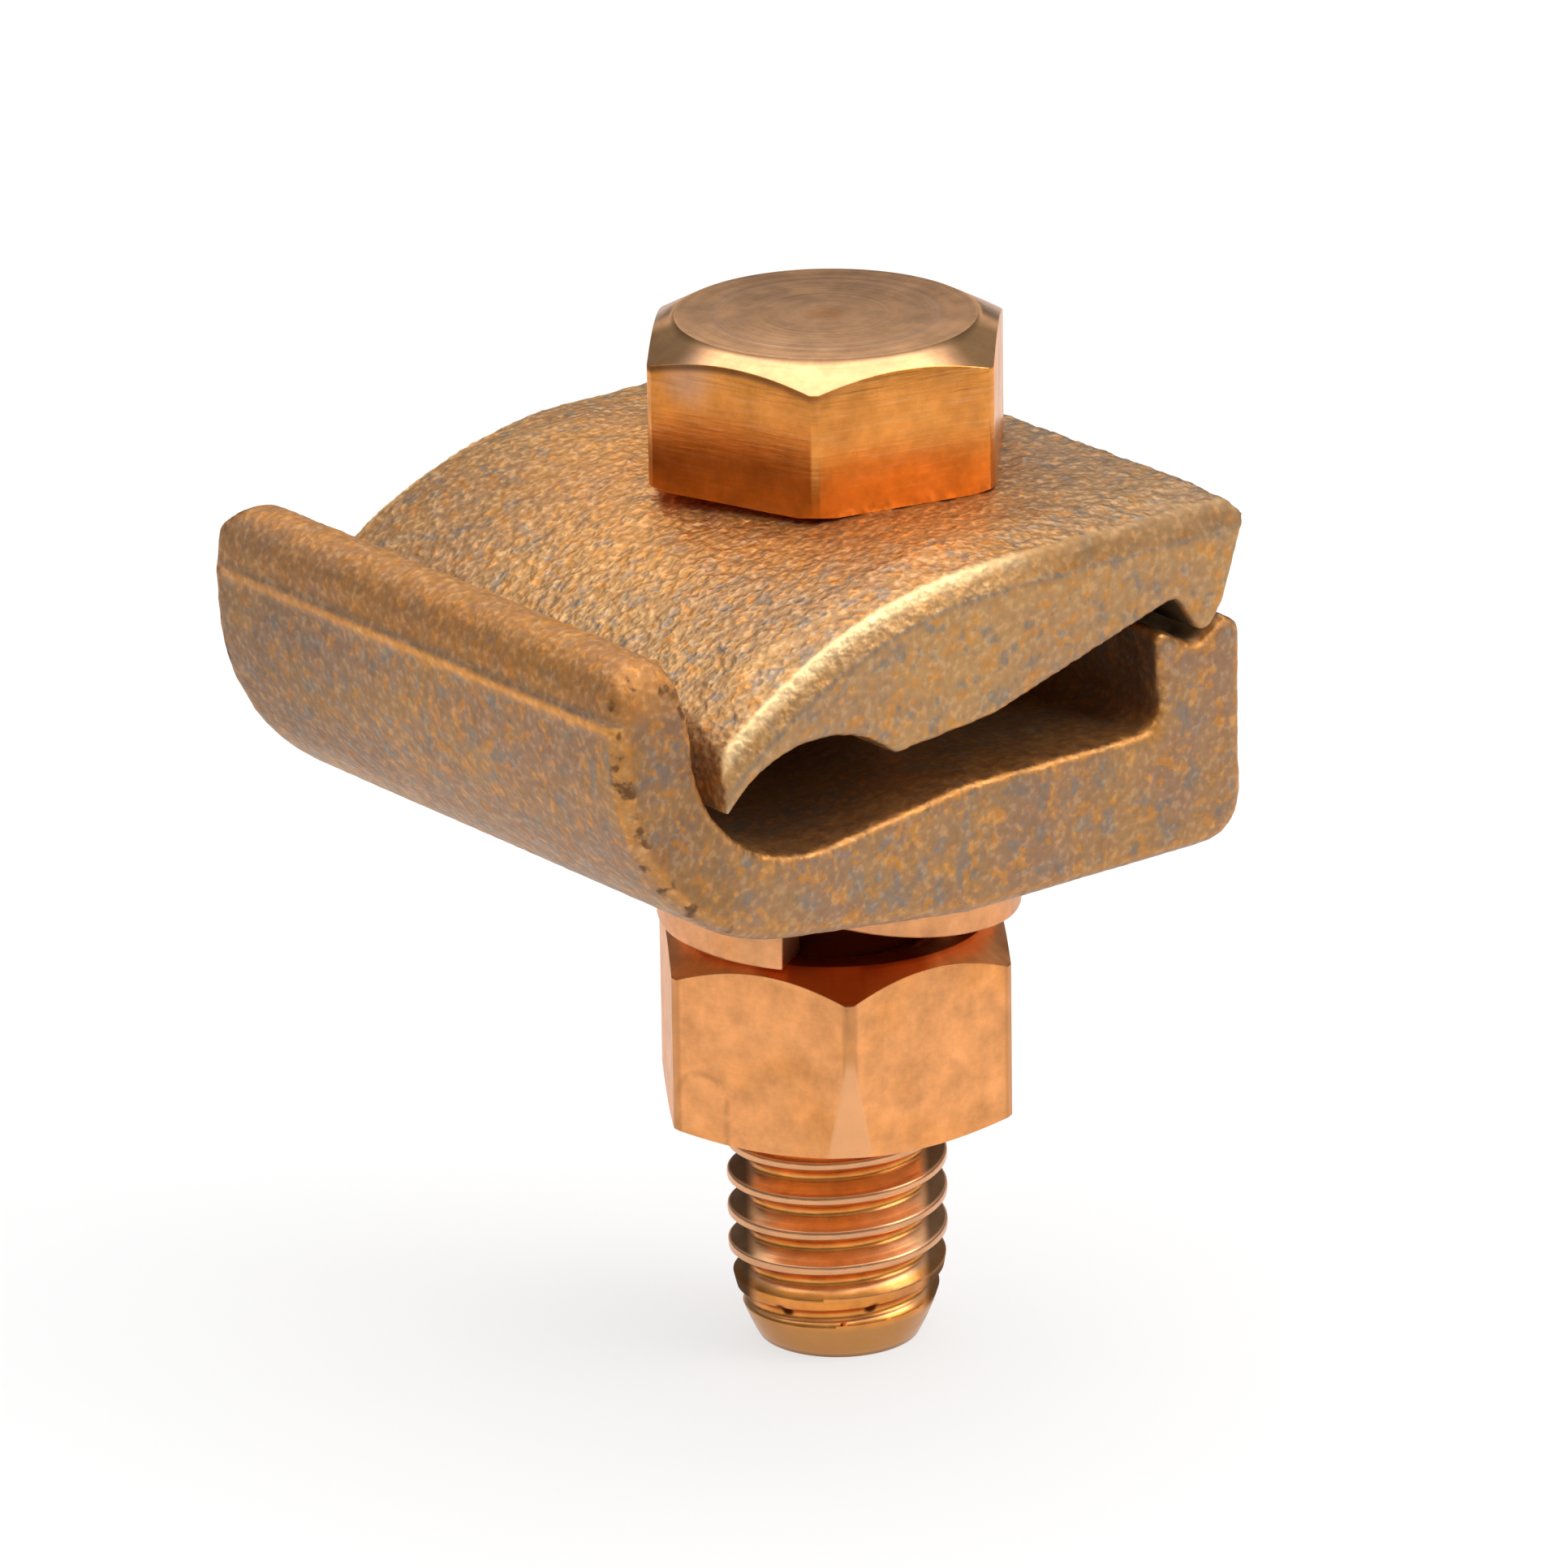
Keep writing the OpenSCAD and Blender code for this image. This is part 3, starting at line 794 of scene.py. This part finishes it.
def sand_cast_bronze(name, tan, grey, rim):
    finish, tree, metal = new_finish(name)
    place = node(tree, "TexCoord").outputs["Object"]
    coarse = attribute(tree, "coarse")
    stipple = noise(tree, place, 0.3 * MM, detail=1, roughness=0.4)
    colour = marked(tree, place, mottled(tree, place, tan, grey), rim)
    colour = sanded(tree, colour, coarse, stipple)
    # Painted shade: darker and less metallic between the jaws.
    hollow_shade = weaken(tree, attribute(tree, "hollow_shade"), HOLLOW_SHADE_SHARE)
    colour = blend(tree, hollow_shade, colour, HOLLOW_SHADE_BROWN)
    patchy = spread(tree, noise(tree, place, 1.6 * MM, detail=4), 0.75, 1)
    # Painted shade: patchy black, and rougher, in the gaps round the tooth.
    gap_shade = both(tree, attribute(tree, "gap_shade"), patchy)
    feed(tree, metal.inputs["Base Color"], blend(tree, gap_shade, colour, GAP_SHADE_BLACK))
    bare = compute(tree, "SUBTRACT", CAST_METALLIC, hollow_shade)
    feed(tree, metal.inputs["Metallic"], bare)
    feed(tree, metal.inputs["Specular IOR Level"], weaken(tree, bare, PLAIN_SPECULAR))
    uneven = spread(tree, noise(tree, place, 0.8 * MM), *CAST_ROUGHNESS)
    dull = compute(tree, "ADD", weaken(tree, attribute(tree, "brown"), 0.25), weaken(tree, gap_shade, 0.45))
    feed(tree, metal.inputs["Roughness"], compute(tree, "ADD", uneven, dull))
    relief = between(tree, coarse, 0.3, 0.7)
    fine = node(tree, "Bump", {"Height": stipple, "Strength": relief, "Distance": 0.12 * MM})
    feed(tree, metal.inputs["Normal"], fine.outputs["Normal"])
    print(f"{name}: {len(tree.nodes)} nodes")
    return finish


cap_finish = sand_cast_bronze("sand_cast_cap", TAN, GREY_TAN, WARM_TAN)
base_finish = sand_cast_bronze("sand_cast_base", PINK_GREY, BROWN_TAN, FRESH_ORANGE)

# %% [markdown]
# ### Copper-coloured fasteners
# The bolt, the nut and the washer are silicon bronze. Their flats were drawn through a die, which
# leaves fine lines along them and a red, coppery skin. Their tops and chamfers were turned later, so
# they show paler fresh metal with rings round the axis. The way a face points tells which it is. The
# lines are a noise squeezed along the axis, and the rings a noise that depends on the radius alone.

# %% Drawn flats and turned faces
RING_WIDTH = 0.35 * MM
LINE_SQUEEZE = 14


def vector(tree, operation, first, second=(0, 0, 0)):
    return node(tree, "VectorMath", {0: first, 1: second}, operation=operation)


def coordinate(tree, value, letter):
    return node(tree, "SeparateXYZ", {0: value}).outputs[letter]


def from_axis(tree, place):
    off = vector(tree, "SUBTRACT", place, AXIS).outputs["Vector"]
    flat = vector(tree, "MULTIPLY", off, (1, 1, 0)).outputs["Vector"]
    return vector(tree, "LENGTH", flat).outputs["Value"]


def copper_skin(tree, place, facing, copper, turned_colour, tarnish):
    turned_face = mask(tree, facing, 0.55, 0.75)
    rings = node(tree, "TexNoise", {"W": weaken(tree, from_axis(tree, place), 1 / RING_WIDTH),
                                    "Scale": 1.0, "Detail": 3}, noise_dimensions="1D").outputs["Fac"]
    squeezed = node(tree, "Mapping", {"Vector": place, "Scale": (1, 1, LINE_SQUEEZE)}).outputs["Vector"]
    lines = noise(tree, squeezed, 2.4 * MM, detail=5)
    patches = mask(tree, noise(tree, place, 3.5 * MM, detail=4), 0.45, 0.75)
    colour = blend(tree, weaken(tree, patches, 0.5), copper, tarnish)
    colour = blend(tree, weaken(tree, mask(tree, lines, 0.45, 0.75), 0.25), colour, turned_colour)
    pale = blend(tree, weaken(tree, mask(tree, rings, 0.4, 0.7), 0.15), turned_colour, copper)
    colour = blend(tree, turned_face, colour, pale)
    mottle = spread(tree, noise(tree, place, 1.3 * MM, detail=5, roughness=0.65), 0.76, 1.16)
    colour = blend(tree, 1.0, colour, mottle, how="MULTIPLY")
    return colour, blend(tree, turned_face, lines, rings)


# %% [markdown]
# Marks on a fastener come in two kinds, and some of them are painted light. The first kind, stains with
# painted highlights, reflection and some painted shade, changes only the colour of the metal. The second
# kind, dirt with painted shade, also hides its shine, so it makes the surface less metallic and rougher.
# Each mark is a small function that gives a mask and a colour, and the finish lays them over one another
# in turn.

# %% Stains and dirt on a finish
ROUGHNESS_SWING = 0.03
DIRT_ROUGHNESS = 0.6


def lay_over(tree, place, facing, colour, marks):
    amounts = []
    for each_mark in marks:
        amount, tint = each_mark(tree, place, facing)
        colour = blend(tree, amount, colour, tint)
        amounts.append(amount)
    return colour, amounts


def still_bare(tree, amounts):
    clean = [compute(tree, "SUBTRACT", 1.0, amount) for amount in amounts]
    bare = clean[0]
    for share in clean[1:]:
        bare = both(tree, bare, share)
    return bare


def drawn_copper(name, copper, turned_colour, tarnish, dull, stains_and_painted_light=(), dirt_and_shade=()):
    finish, tree, metal = new_finish(name)
    place = node(tree, "TexCoord").outputs["Object"]
    facing = coordinate(tree, node(tree, "NewGeometry").outputs["Normal"], "Z")
    colour, relief = copper_skin(tree, place, facing, copper, turned_colour, tarnish)
    # Stains and painted light colour the metal; dirt and painted shade also dull it.
    colour, _ = lay_over(tree, place, facing, colour, stains_and_painted_light)
    colour, amounts = lay_over(tree, place, facing, colour, dirt_and_shade)
    feed(tree, metal.inputs["Base Color"], colour)
    metal.inputs["Metallic"].default_value = 1.0
    rough = spread(tree, noise(tree, place, 1.5 * MM), dull - ROUGHNESS_SWING, dull + ROUGHNESS_SWING)
    if dirt_and_shade:
        bare = still_bare(tree, amounts)
        feed(tree, metal.inputs["Metallic"], bare)
        feed(tree, metal.inputs["Specular IOR Level"], weaken(tree, bare, PLAIN_SPECULAR))
        covered = compute(tree, "SUBTRACT", 1.0, bare)
        rough = compute(tree, "ADD", rough, weaken(tree, covered, DIRT_ROUGHNESS))
    feed(tree, metal.inputs["Roughness"], rough)
    bump = node(tree, "Bump", {"Height": relief, "Strength": 0.3, "Distance": 0.04 * MM})
    feed(tree, metal.inputs["Normal"], bump.outputs["Normal"])
    print(f"{name}: {len(tree.nodes)} nodes")
    return finish


# %% [markdown]
# On the head one flat has a pale patch, a painted reflection, and the turned top has a copper centre,
# where the tool left the skin. Two corners of the chamfer are dark, partly tarnish and partly a painted
# dark reflection. The rim of the top and the upper edge of the left flat are darker too. That edge is
# where the chamfer's cone meets the flat, so the mask measures how far a point lies below the cone.

# %% Marks of use and painted light on the head
BOLT_COPPER = (0.82, 0.31, 0.063)
# Pale pink of painted reflections and highlights, and of rubbed crests.
RUB_AND_HIGHLIGHT_PINK = (0.80, 0.50, 0.34)
CORNER_OLIVE = (0.05, 0.03, 0.011)
HEAD_SLOPE = math.tan(HEAD_CHAMFER)
HEAD_CENTRE = AXIS + Vector((0, 0, bolt_high.z))
# Centre of the painted reflection on the left flat.
REFLECTION_SPOT = Vector((4.56, -0.23, 13.3)) * MM
# Centres of the dark chamfer corners, partly tarnish and partly painted dark reflection.
TARNISH_AND_REFLECTION_SPOTS = (Vector((4.8, 2.2, 13.3)) * MM, Vector((15.4, -6.7, 13.3)) * MM)


def close_to(tree, place, point, inner, outer):
    gap = vector(tree, "DISTANCE", place, point).outputs["Value"]
    return mask(tree, gap, outer, inner)


def height_band(tree, place, low, high, soft):
    height = coordinate(tree, place, "Z")
    above = mask(tree, height, low - soft, low + soft)
    return both(tree, above, mask(tree, height, high + soft, high - soft))


# Painted reflection: a pale patch on the upper left flat.
def reflection_patch(tree, place, facing):
    patch = close_to(tree, place, REFLECTION_SPOT, inner=0.3 * MM, outer=1.7 * MM)
    return weaken(tree, patch, 0.4), RUB_AND_HIGHLIGHT_PINK


def copper_centre(tree, place, facing):
    centre = close_to(tree, place, HEAD_CENTRE, inner=0.2 * MM, outer=1.3 * MM)
    return weaken(tree, centre, 0.5), BOLT_COPPER


# Partly tarnish, partly a painted dark reflection on the chamfer's two side corners.
def dark_corners(tree, place, facing):
    first, second = (close_to(tree, place, point, inner=1.6 * MM, outer=3.8 * MM) for point in TARNISH_AND_REFLECTION_SPOTS)
    chamfer = both(tree, mask(tree, facing, 0.5, 0.7), mask(tree, facing, 0.99, 0.95))
    return weaken(tree, both(tree, either(tree, first, second), chamfer), 0.85), CORNER_OLIVE


def dark_arris(tree, place, facing):
    left = mask(tree, coordinate(tree, place, "X"), 9 * MM, 5 * MM)
    drop = weaken(tree, compute(tree, "SUBTRACT", from_axis(tree, place), HEAD_TOP_RADIUS), HEAD_SLOPE)
    cone_height = compute(tree, "SUBTRACT", bolt_high.z, drop)
    below = compute(tree, "SUBTRACT", cone_height, coordinate(tree, place, "Z"))
    edge = both(tree, mask(tree, below, 0.4 * MM, 0.12 * MM), mask(tree, facing, 0.5, 0.3))
    rim = both(tree, mask(tree, facing, 0.89, 0.92), mask(tree, facing, 0.999, 0.985))
    on_head = height_band(tree, place, SEAT + 2 * MM, bolt_high.z + MM, soft=0.2 * MM)
    dark = both(tree, either(tree, both(tree, edge, left), rim), on_head)
    return weaken(tree, dark, 0.7), CORNER_OLIVE


# %% [markdown]
# On the thread the crests are pale, partly rubbed metal and partly a painted highlight, and the grooves
# at two sides are painted black, a painted shade, measured along a direction across the camera's view.
# The stretch in the washer gap is painted dark, a painted shade, the plain end is dull, and two nicks
# near it hold dirt. A nick is a short line that points at the axis.

# %% Marks of use and painted light on the thread
END_BROWN = (0.52, 0.25, 0.085)
# Black of the painted shade at the thread's two sides.
SIDE_SHADE_BLACK = (0.03, 0.02, 0.01)
# Dark brown of the painted shade in the washer gap, and of the dirt in the nicks.
OIL_AND_SHADE_BROWN = (0.10, 0.018, 0.004)
END_HEIGHT = TIP + 1.6 * MM
SIDEWAYS = Vector((0.788, -0.616, 0))
NICKS = (Vector((7.89, -1.31, -28.66)) * MM, Vector((10.64, -4.08, -28.41)) * MM)


# Pale crests: partly rubbed metal, partly a painted highlight.
def pale_crests(tree, place, facing):
    radius = from_axis(tree, place)
    crest = mask(tree, radius, CREST - 0.2 * MM, CREST - 0.03 * MM)
    threaded = both(tree, crest, mask(tree, radius, CREST + 0.15 * MM, CREST + 0.05 * MM))
    return weaken(tree, threaded, 0.45), RUB_AND_HIGHLIGHT_PINK


# Painted shade: black grooves at the two sides across the camera's view.
def side_shade(tree, place, facing):
    off = vector(tree, "SUBTRACT", place, AXIS).outputs["Vector"]
    aside = vector(tree, "DOT_PRODUCT", off, SIDEWAYS).outputs["Value"]
    sides = mask(tree, compute(tree, "ABSOLUTE", aside), 3.4 * MM, 3.95 * MM)
    under_crest = mask(tree, from_axis(tree, place), CREST - 0.02 * MM, CREST - 0.15 * MM)
    threaded = height_band(tree, place, END_HEIGHT, nut_low.z, soft=0.3 * MM)
    return weaken(tree, both(tree, both(tree, sides, under_crest), threaded), 0.85), SIDE_SHADE_BLACK


# Painted shade: the bolt dark in the washer gap.
def washer_gap_shade(tree, place, facing):
    return height_band(tree, place, nut_high.z - 0.6 * MM, base_low.z, soft=0.5 * MM), OIL_AND_SHADE_BROWN


def dull_end(tree, place, facing):
    return weaken(tree, height_band(tree, place, TIP - MM, END_HEIGHT, soft=0.3 * MM), 0.9), END_BROWN


def nick(tree, place, point):
    inward = (AXIS - point) * Vector((1, 1, 0))
    off = vector(tree, "SUBTRACT", place, point).outputs["Vector"]
    across = vector(tree, "CROSS_PRODUCT", off, inward.normalized()).outputs["Vector"]
    line = mask(tree, vector(tree, "LENGTH", across).outputs["Value"], 0.42 * MM, 0.2 * MM)
    return both(tree, line, close_to(tree, place, point, inner=1 * MM, outer=1.5 * MM))


def nicks(tree, place, facing):
    first, second = (nick(tree, place, point) for point in NICKS)
    return either(tree, first, second), OIL_AND_SHADE_BROWN


# %% [markdown]
# The bolt is the reddest and the shiniest of the three fasteners, with pale turned faces and patches
# of brown tarnish. Its stains and painted highlights come first and its dirt and painted shade last,
# because these lie over everything.

# %% The bolt's finish
TURNED_PALE = (0.95, 0.51, 0.245)
TARNISH = (0.50, 0.17, 0.035)
bolt_finish = drawn_copper("bolt_copper", BOLT_COPPER, TURNED_PALE, TARNISH, dull=0.30,
                           stains_and_painted_light=(pale_crests, reflection_patch, copper_centre, dull_end),
                           dirt_and_shade=(dark_corners, dark_arris, washer_gap_shade, side_shade, nicks))

# %% [markdown]
# On the nut the upper chamfer is painted dark red under the washer gap, a painted shade, thin darker
# lines run along the corners, and the worn wedge is pale. A tool left its print low on one flat, an arch
# with straight legs. It is the line at a fixed distance from a point, with the height below that point
# counted as nothing.

# %% Marks of use and painted shade on the nut
# Dark red of the painted shade on the chamfer under the washer gap.
CHAMFER_SHADE_RED = (0.50, 0.09, 0.012)
CORNER_BROWN = (0.50, 0.22, 0.08)
WORN_PINK = (0.90, 0.46, 0.22)
PRINT_BROWN = (0.50, 0.22, 0.08)
PRINT_POINT = Vector((4.34, -0.60, -18.3)) * MM
PRINT_RADIUS = 1.15 * MM


# Painted shade: the upper chamfer dark red under the washer gap.
def chamfer_shade(tree, place, facing):
    corner = AXIS + outward * CORNER_RADIUS + Vector((0, 0, nut_high.z))
    under_gap = close_to(tree, place, corner, inner=2.5 * MM, outer=6 * MM)
    chamfer = mask(tree, facing, 0.35, 0.6)
    return both(tree, chamfer, spread(tree, under_gap, 0.1, 0.9)), CHAMFER_SHADE_RED


# Thin darker lines along the corners.
def darker_corner_lines(tree, place, facing):
    radius = from_axis(tree, place)
    corners = mask(tree, radius, CORNER_RADIUS - 0.11 * MM, CORNER_RADIUS - 0.03 * MM)
    return weaken(tree, corners, 0.5), CORNER_BROWN


def worn_wedge(tree, place, facing):
    off = vector(tree, "SUBTRACT", place, worn_point).outputs["Vector"]
    depth = vector(tree, "DOT_PRODUCT", off, worn_facing).outputs["Value"]
    return weaken(tree, mask(tree, depth, -0.10 * MM, -0.02 * MM), 0.7), WORN_PINK


def tool_print(tree, place, facing):
    off = vector(tree, "SUBTRACT", place, PRINT_POINT).outputs["Vector"]
    arch = vector(tree, "MAXIMUM", off, (-1, -1, 0)).outputs["Vector"]
    gap = vector(tree, "LENGTH", arch).outputs["Value"]
    line = compute(tree, "ABSOLUTE", compute(tree, "SUBTRACT", gap, PRINT_RADIUS))
    worn = mask(tree, noise(tree, place, 0.8 * MM), 0.35, 0.55)
    print_left = both(tree, worn, mask(tree, line, 0.26 * MM, 0.02 * MM))
    return weaken(tree, print_left, 0.45), PRINT_BROWN


# %% [markdown]
# The nut is salmon with orange patches and a satin shine, and the washer is a little pinker. Neither
# shows a paler turned face, so the colour of their skin stands in for it. The washer has no marks.

# %% The nut's and the washer's finish
NUT_SALMON = (0.89, 0.385, 0.14)
NUT_ORANGE = (0.84, 0.32, 0.07)
WASHER_PINK = (0.80, 0.37, 0.16)
nut_finish = drawn_copper("nut_salmon", NUT_SALMON, NUT_SALMON, NUT_ORANGE, dull=0.40,
                          stains_and_painted_light=(chamfer_shade, darker_corner_lines, worn_wedge, tool_print))
washer_finish = drawn_copper("washer_pink", WASHER_PINK, WASHER_PINK, NUT_ORANGE, dull=0.42)

# %% [markdown]
# ## Ride on the frame
# Each piece takes the place of its solid and moves with that solid's body, so when the clamp opens the
# looks go with the motion.

# %% Ride, replace and finish
for piece, solid, body, slot, finish in (
    (cap, "upper_clamp", "cap", "cap_bronze", cap_finish),
    (base, "lower_clamp", "base", "base_bronze", base_finish),
    (bolt, "hex_bolt", "bolt", "bolt_bronze", bolt_finish),
    (washer, "lock_washer", "base", "washer_bronze", washer_finish),
    (nut, "hex_nut", "nut", "nut_bronze", nut_finish),
):
    piece.data.materials.clear()
    piece.data.materials.append(finish)
    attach(piece, body)
    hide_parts(solid)
    print(piece.name, "rides on", body)

# %% [markdown]
# ## The studio
# Metal shows what is round it, so the studio is a part of the finish. The floor is white and lights
# the upright flats. The camera and the reflections see it as a plain white glow, and a part of the
# floor's own shading is kept, so the shadow stays.

# %% The floor
FLOOR_SIZE = 6.0
FLOOR_WHITE = (0.9, 0.9, 0.9, 1)
FLOOR_ROUGHNESS = 0.9
FLOOR_GAP = 0.02 * MM
SHADOW_SHARE = 0.35

bpy.ops.object.select_all(action="DESELECT")
bpy.ops.mesh.primitive_plane_add(size=FLOOR_SIZE, location=(AXIS.x, 0, TIP - FLOOR_GAP))
floor = bpy.context.active_object
floor.name = "floor"

floor_finish, tree, board = new_finish("white_floor")
board.inputs["Base Color"].default_value = FLOOR_WHITE
board.inputs["Roughness"].default_value = FLOOR_ROUGHNESS
rays = node(tree, "LightPath").outputs
seen = either(tree, rays["Is Camera Ray"], rays["Is Glossy Ray"])
seen = either(tree, seen, rays["Is Transmission Ray"])
glow = node(tree, "Emission", {"Color": (1, 1, 1, 1), "Strength": 1.0})
mixer = node(tree, "MixShader", {"Fac": weaken(tree, seen, 1 - SHADOW_SHARE)})
tree.links.new(board.outputs["BSDF"], mixer.inputs[1])
tree.links.new(glow.outputs["Emission"], mixer.inputs[2])
tree.links.new(mixer.outputs["Shader"], tree.nodes["Material Output"].inputs["Surface"])
floor.data.materials.append(floor_finish)
print("floor at", round(floor.location.z / MM, 2), "mm")

# %% [markdown]
# The walls are the world round the scene. They get darker towards the floor, and the low walls leave
# the dark edges that make metal look like metal.

# %% The walls
LOW_WALL, HIGH_WALL = 0.04, 0.75
WALL_FOOT, WALL_HEAD = 0.1, 0.85
world = bpy.data.worlds.new("dim_walls")
bpy.context.scene.world = world
world.use_nodes = True
tree = world.node_tree
upward_look = coordinate(tree, node(tree, "TexCoord").outputs["Generated"], "Z")
walls = node(tree, "MapRange", {"Value": upward_look, "From Min": WALL_FOOT, "From Max": WALL_HEAD,
                                "To Min": LOW_WALL, "To Max": HIGH_WALL})
background = tree.nodes["Background"]
background.inputs["Color"].default_value = (1, 1, 1, 1)
feed(tree, background.inputs["Strength"], walls.outputs["Result"])
print("walls from", LOW_WALL, "to", HIGH_WALL)

# %% [markdown]
# A wide softbox hangs over the part and lights its upper faces and the chamfers. A small one stands at
# the front right and lights the bevels.

# %% The softboxes
def softbox(name, place, size, power):
    bpy.ops.object.light_add(type="AREA", location=place)
    lamp = bpy.context.active_object
    lamp.name = name
    lamp.data.shape = "SQUARE"
    lamp.data.size = size
    lamp.data.energy = power
    lamp.rotation_euler = (AXIS - Vector(place)).to_track_quat("-Z", "Y").to_euler()
    print(name, "of", power, "W")


softbox("overhead_softbox", place=(0.0, 0.05, 0.5), size=0.9, power=3.2)
softbox("front_softbox", place=(0.30, -0.39, 0.34), size=0.35, power=1.45)

# %% [markdown]
# The photo was taken from the front left, a little above the part, with a long lens. The camera stands
# where the head, the nut and the bolt's end line up with the photo's. It could be moved by eye, but an
# azimuth, an elevation and a distance from one aim are easier to change later.

# %% The camera
CAMERA_AIM = Vector((10.414, 1.239, -6.167)) * MM
CAMERA_AWAY = 450 * MM
CAMERA_AZIMUTH = math.radians(-38)
CAMERA_ELEVATION = math.radians(19.878)
CAMERA_ROLL = math.radians(-0.856)
CAMERA_LENS = 245.96
CAMERA_SENSOR = 36

back = Vector((math.sin(CAMERA_AZIMUTH) * math.cos(CAMERA_ELEVATION),
               -math.cos(CAMERA_AZIMUTH) * math.cos(CAMERA_ELEVATION), math.sin(CAMERA_ELEVATION)))
bpy.ops.object.camera_add(location=CAMERA_AIM + back * CAMERA_AWAY)
camera = bpy.context.active_object
level = back.to_track_quat("Z", "Y")
camera.rotation_mode = "QUATERNION"
camera.rotation_quaternion = level @ Matrix.Rotation(CAMERA_ROLL, 4, "Z").to_quaternion()
camera.data.lens = CAMERA_LENS
camera.data.sensor_width = CAMERA_SENSOR
camera.data.clip_start = 0.01
bpy.context.scene.camera = camera
bpy.context.scene.view_settings.view_transform = "Standard"
print("camera at", camera.location)
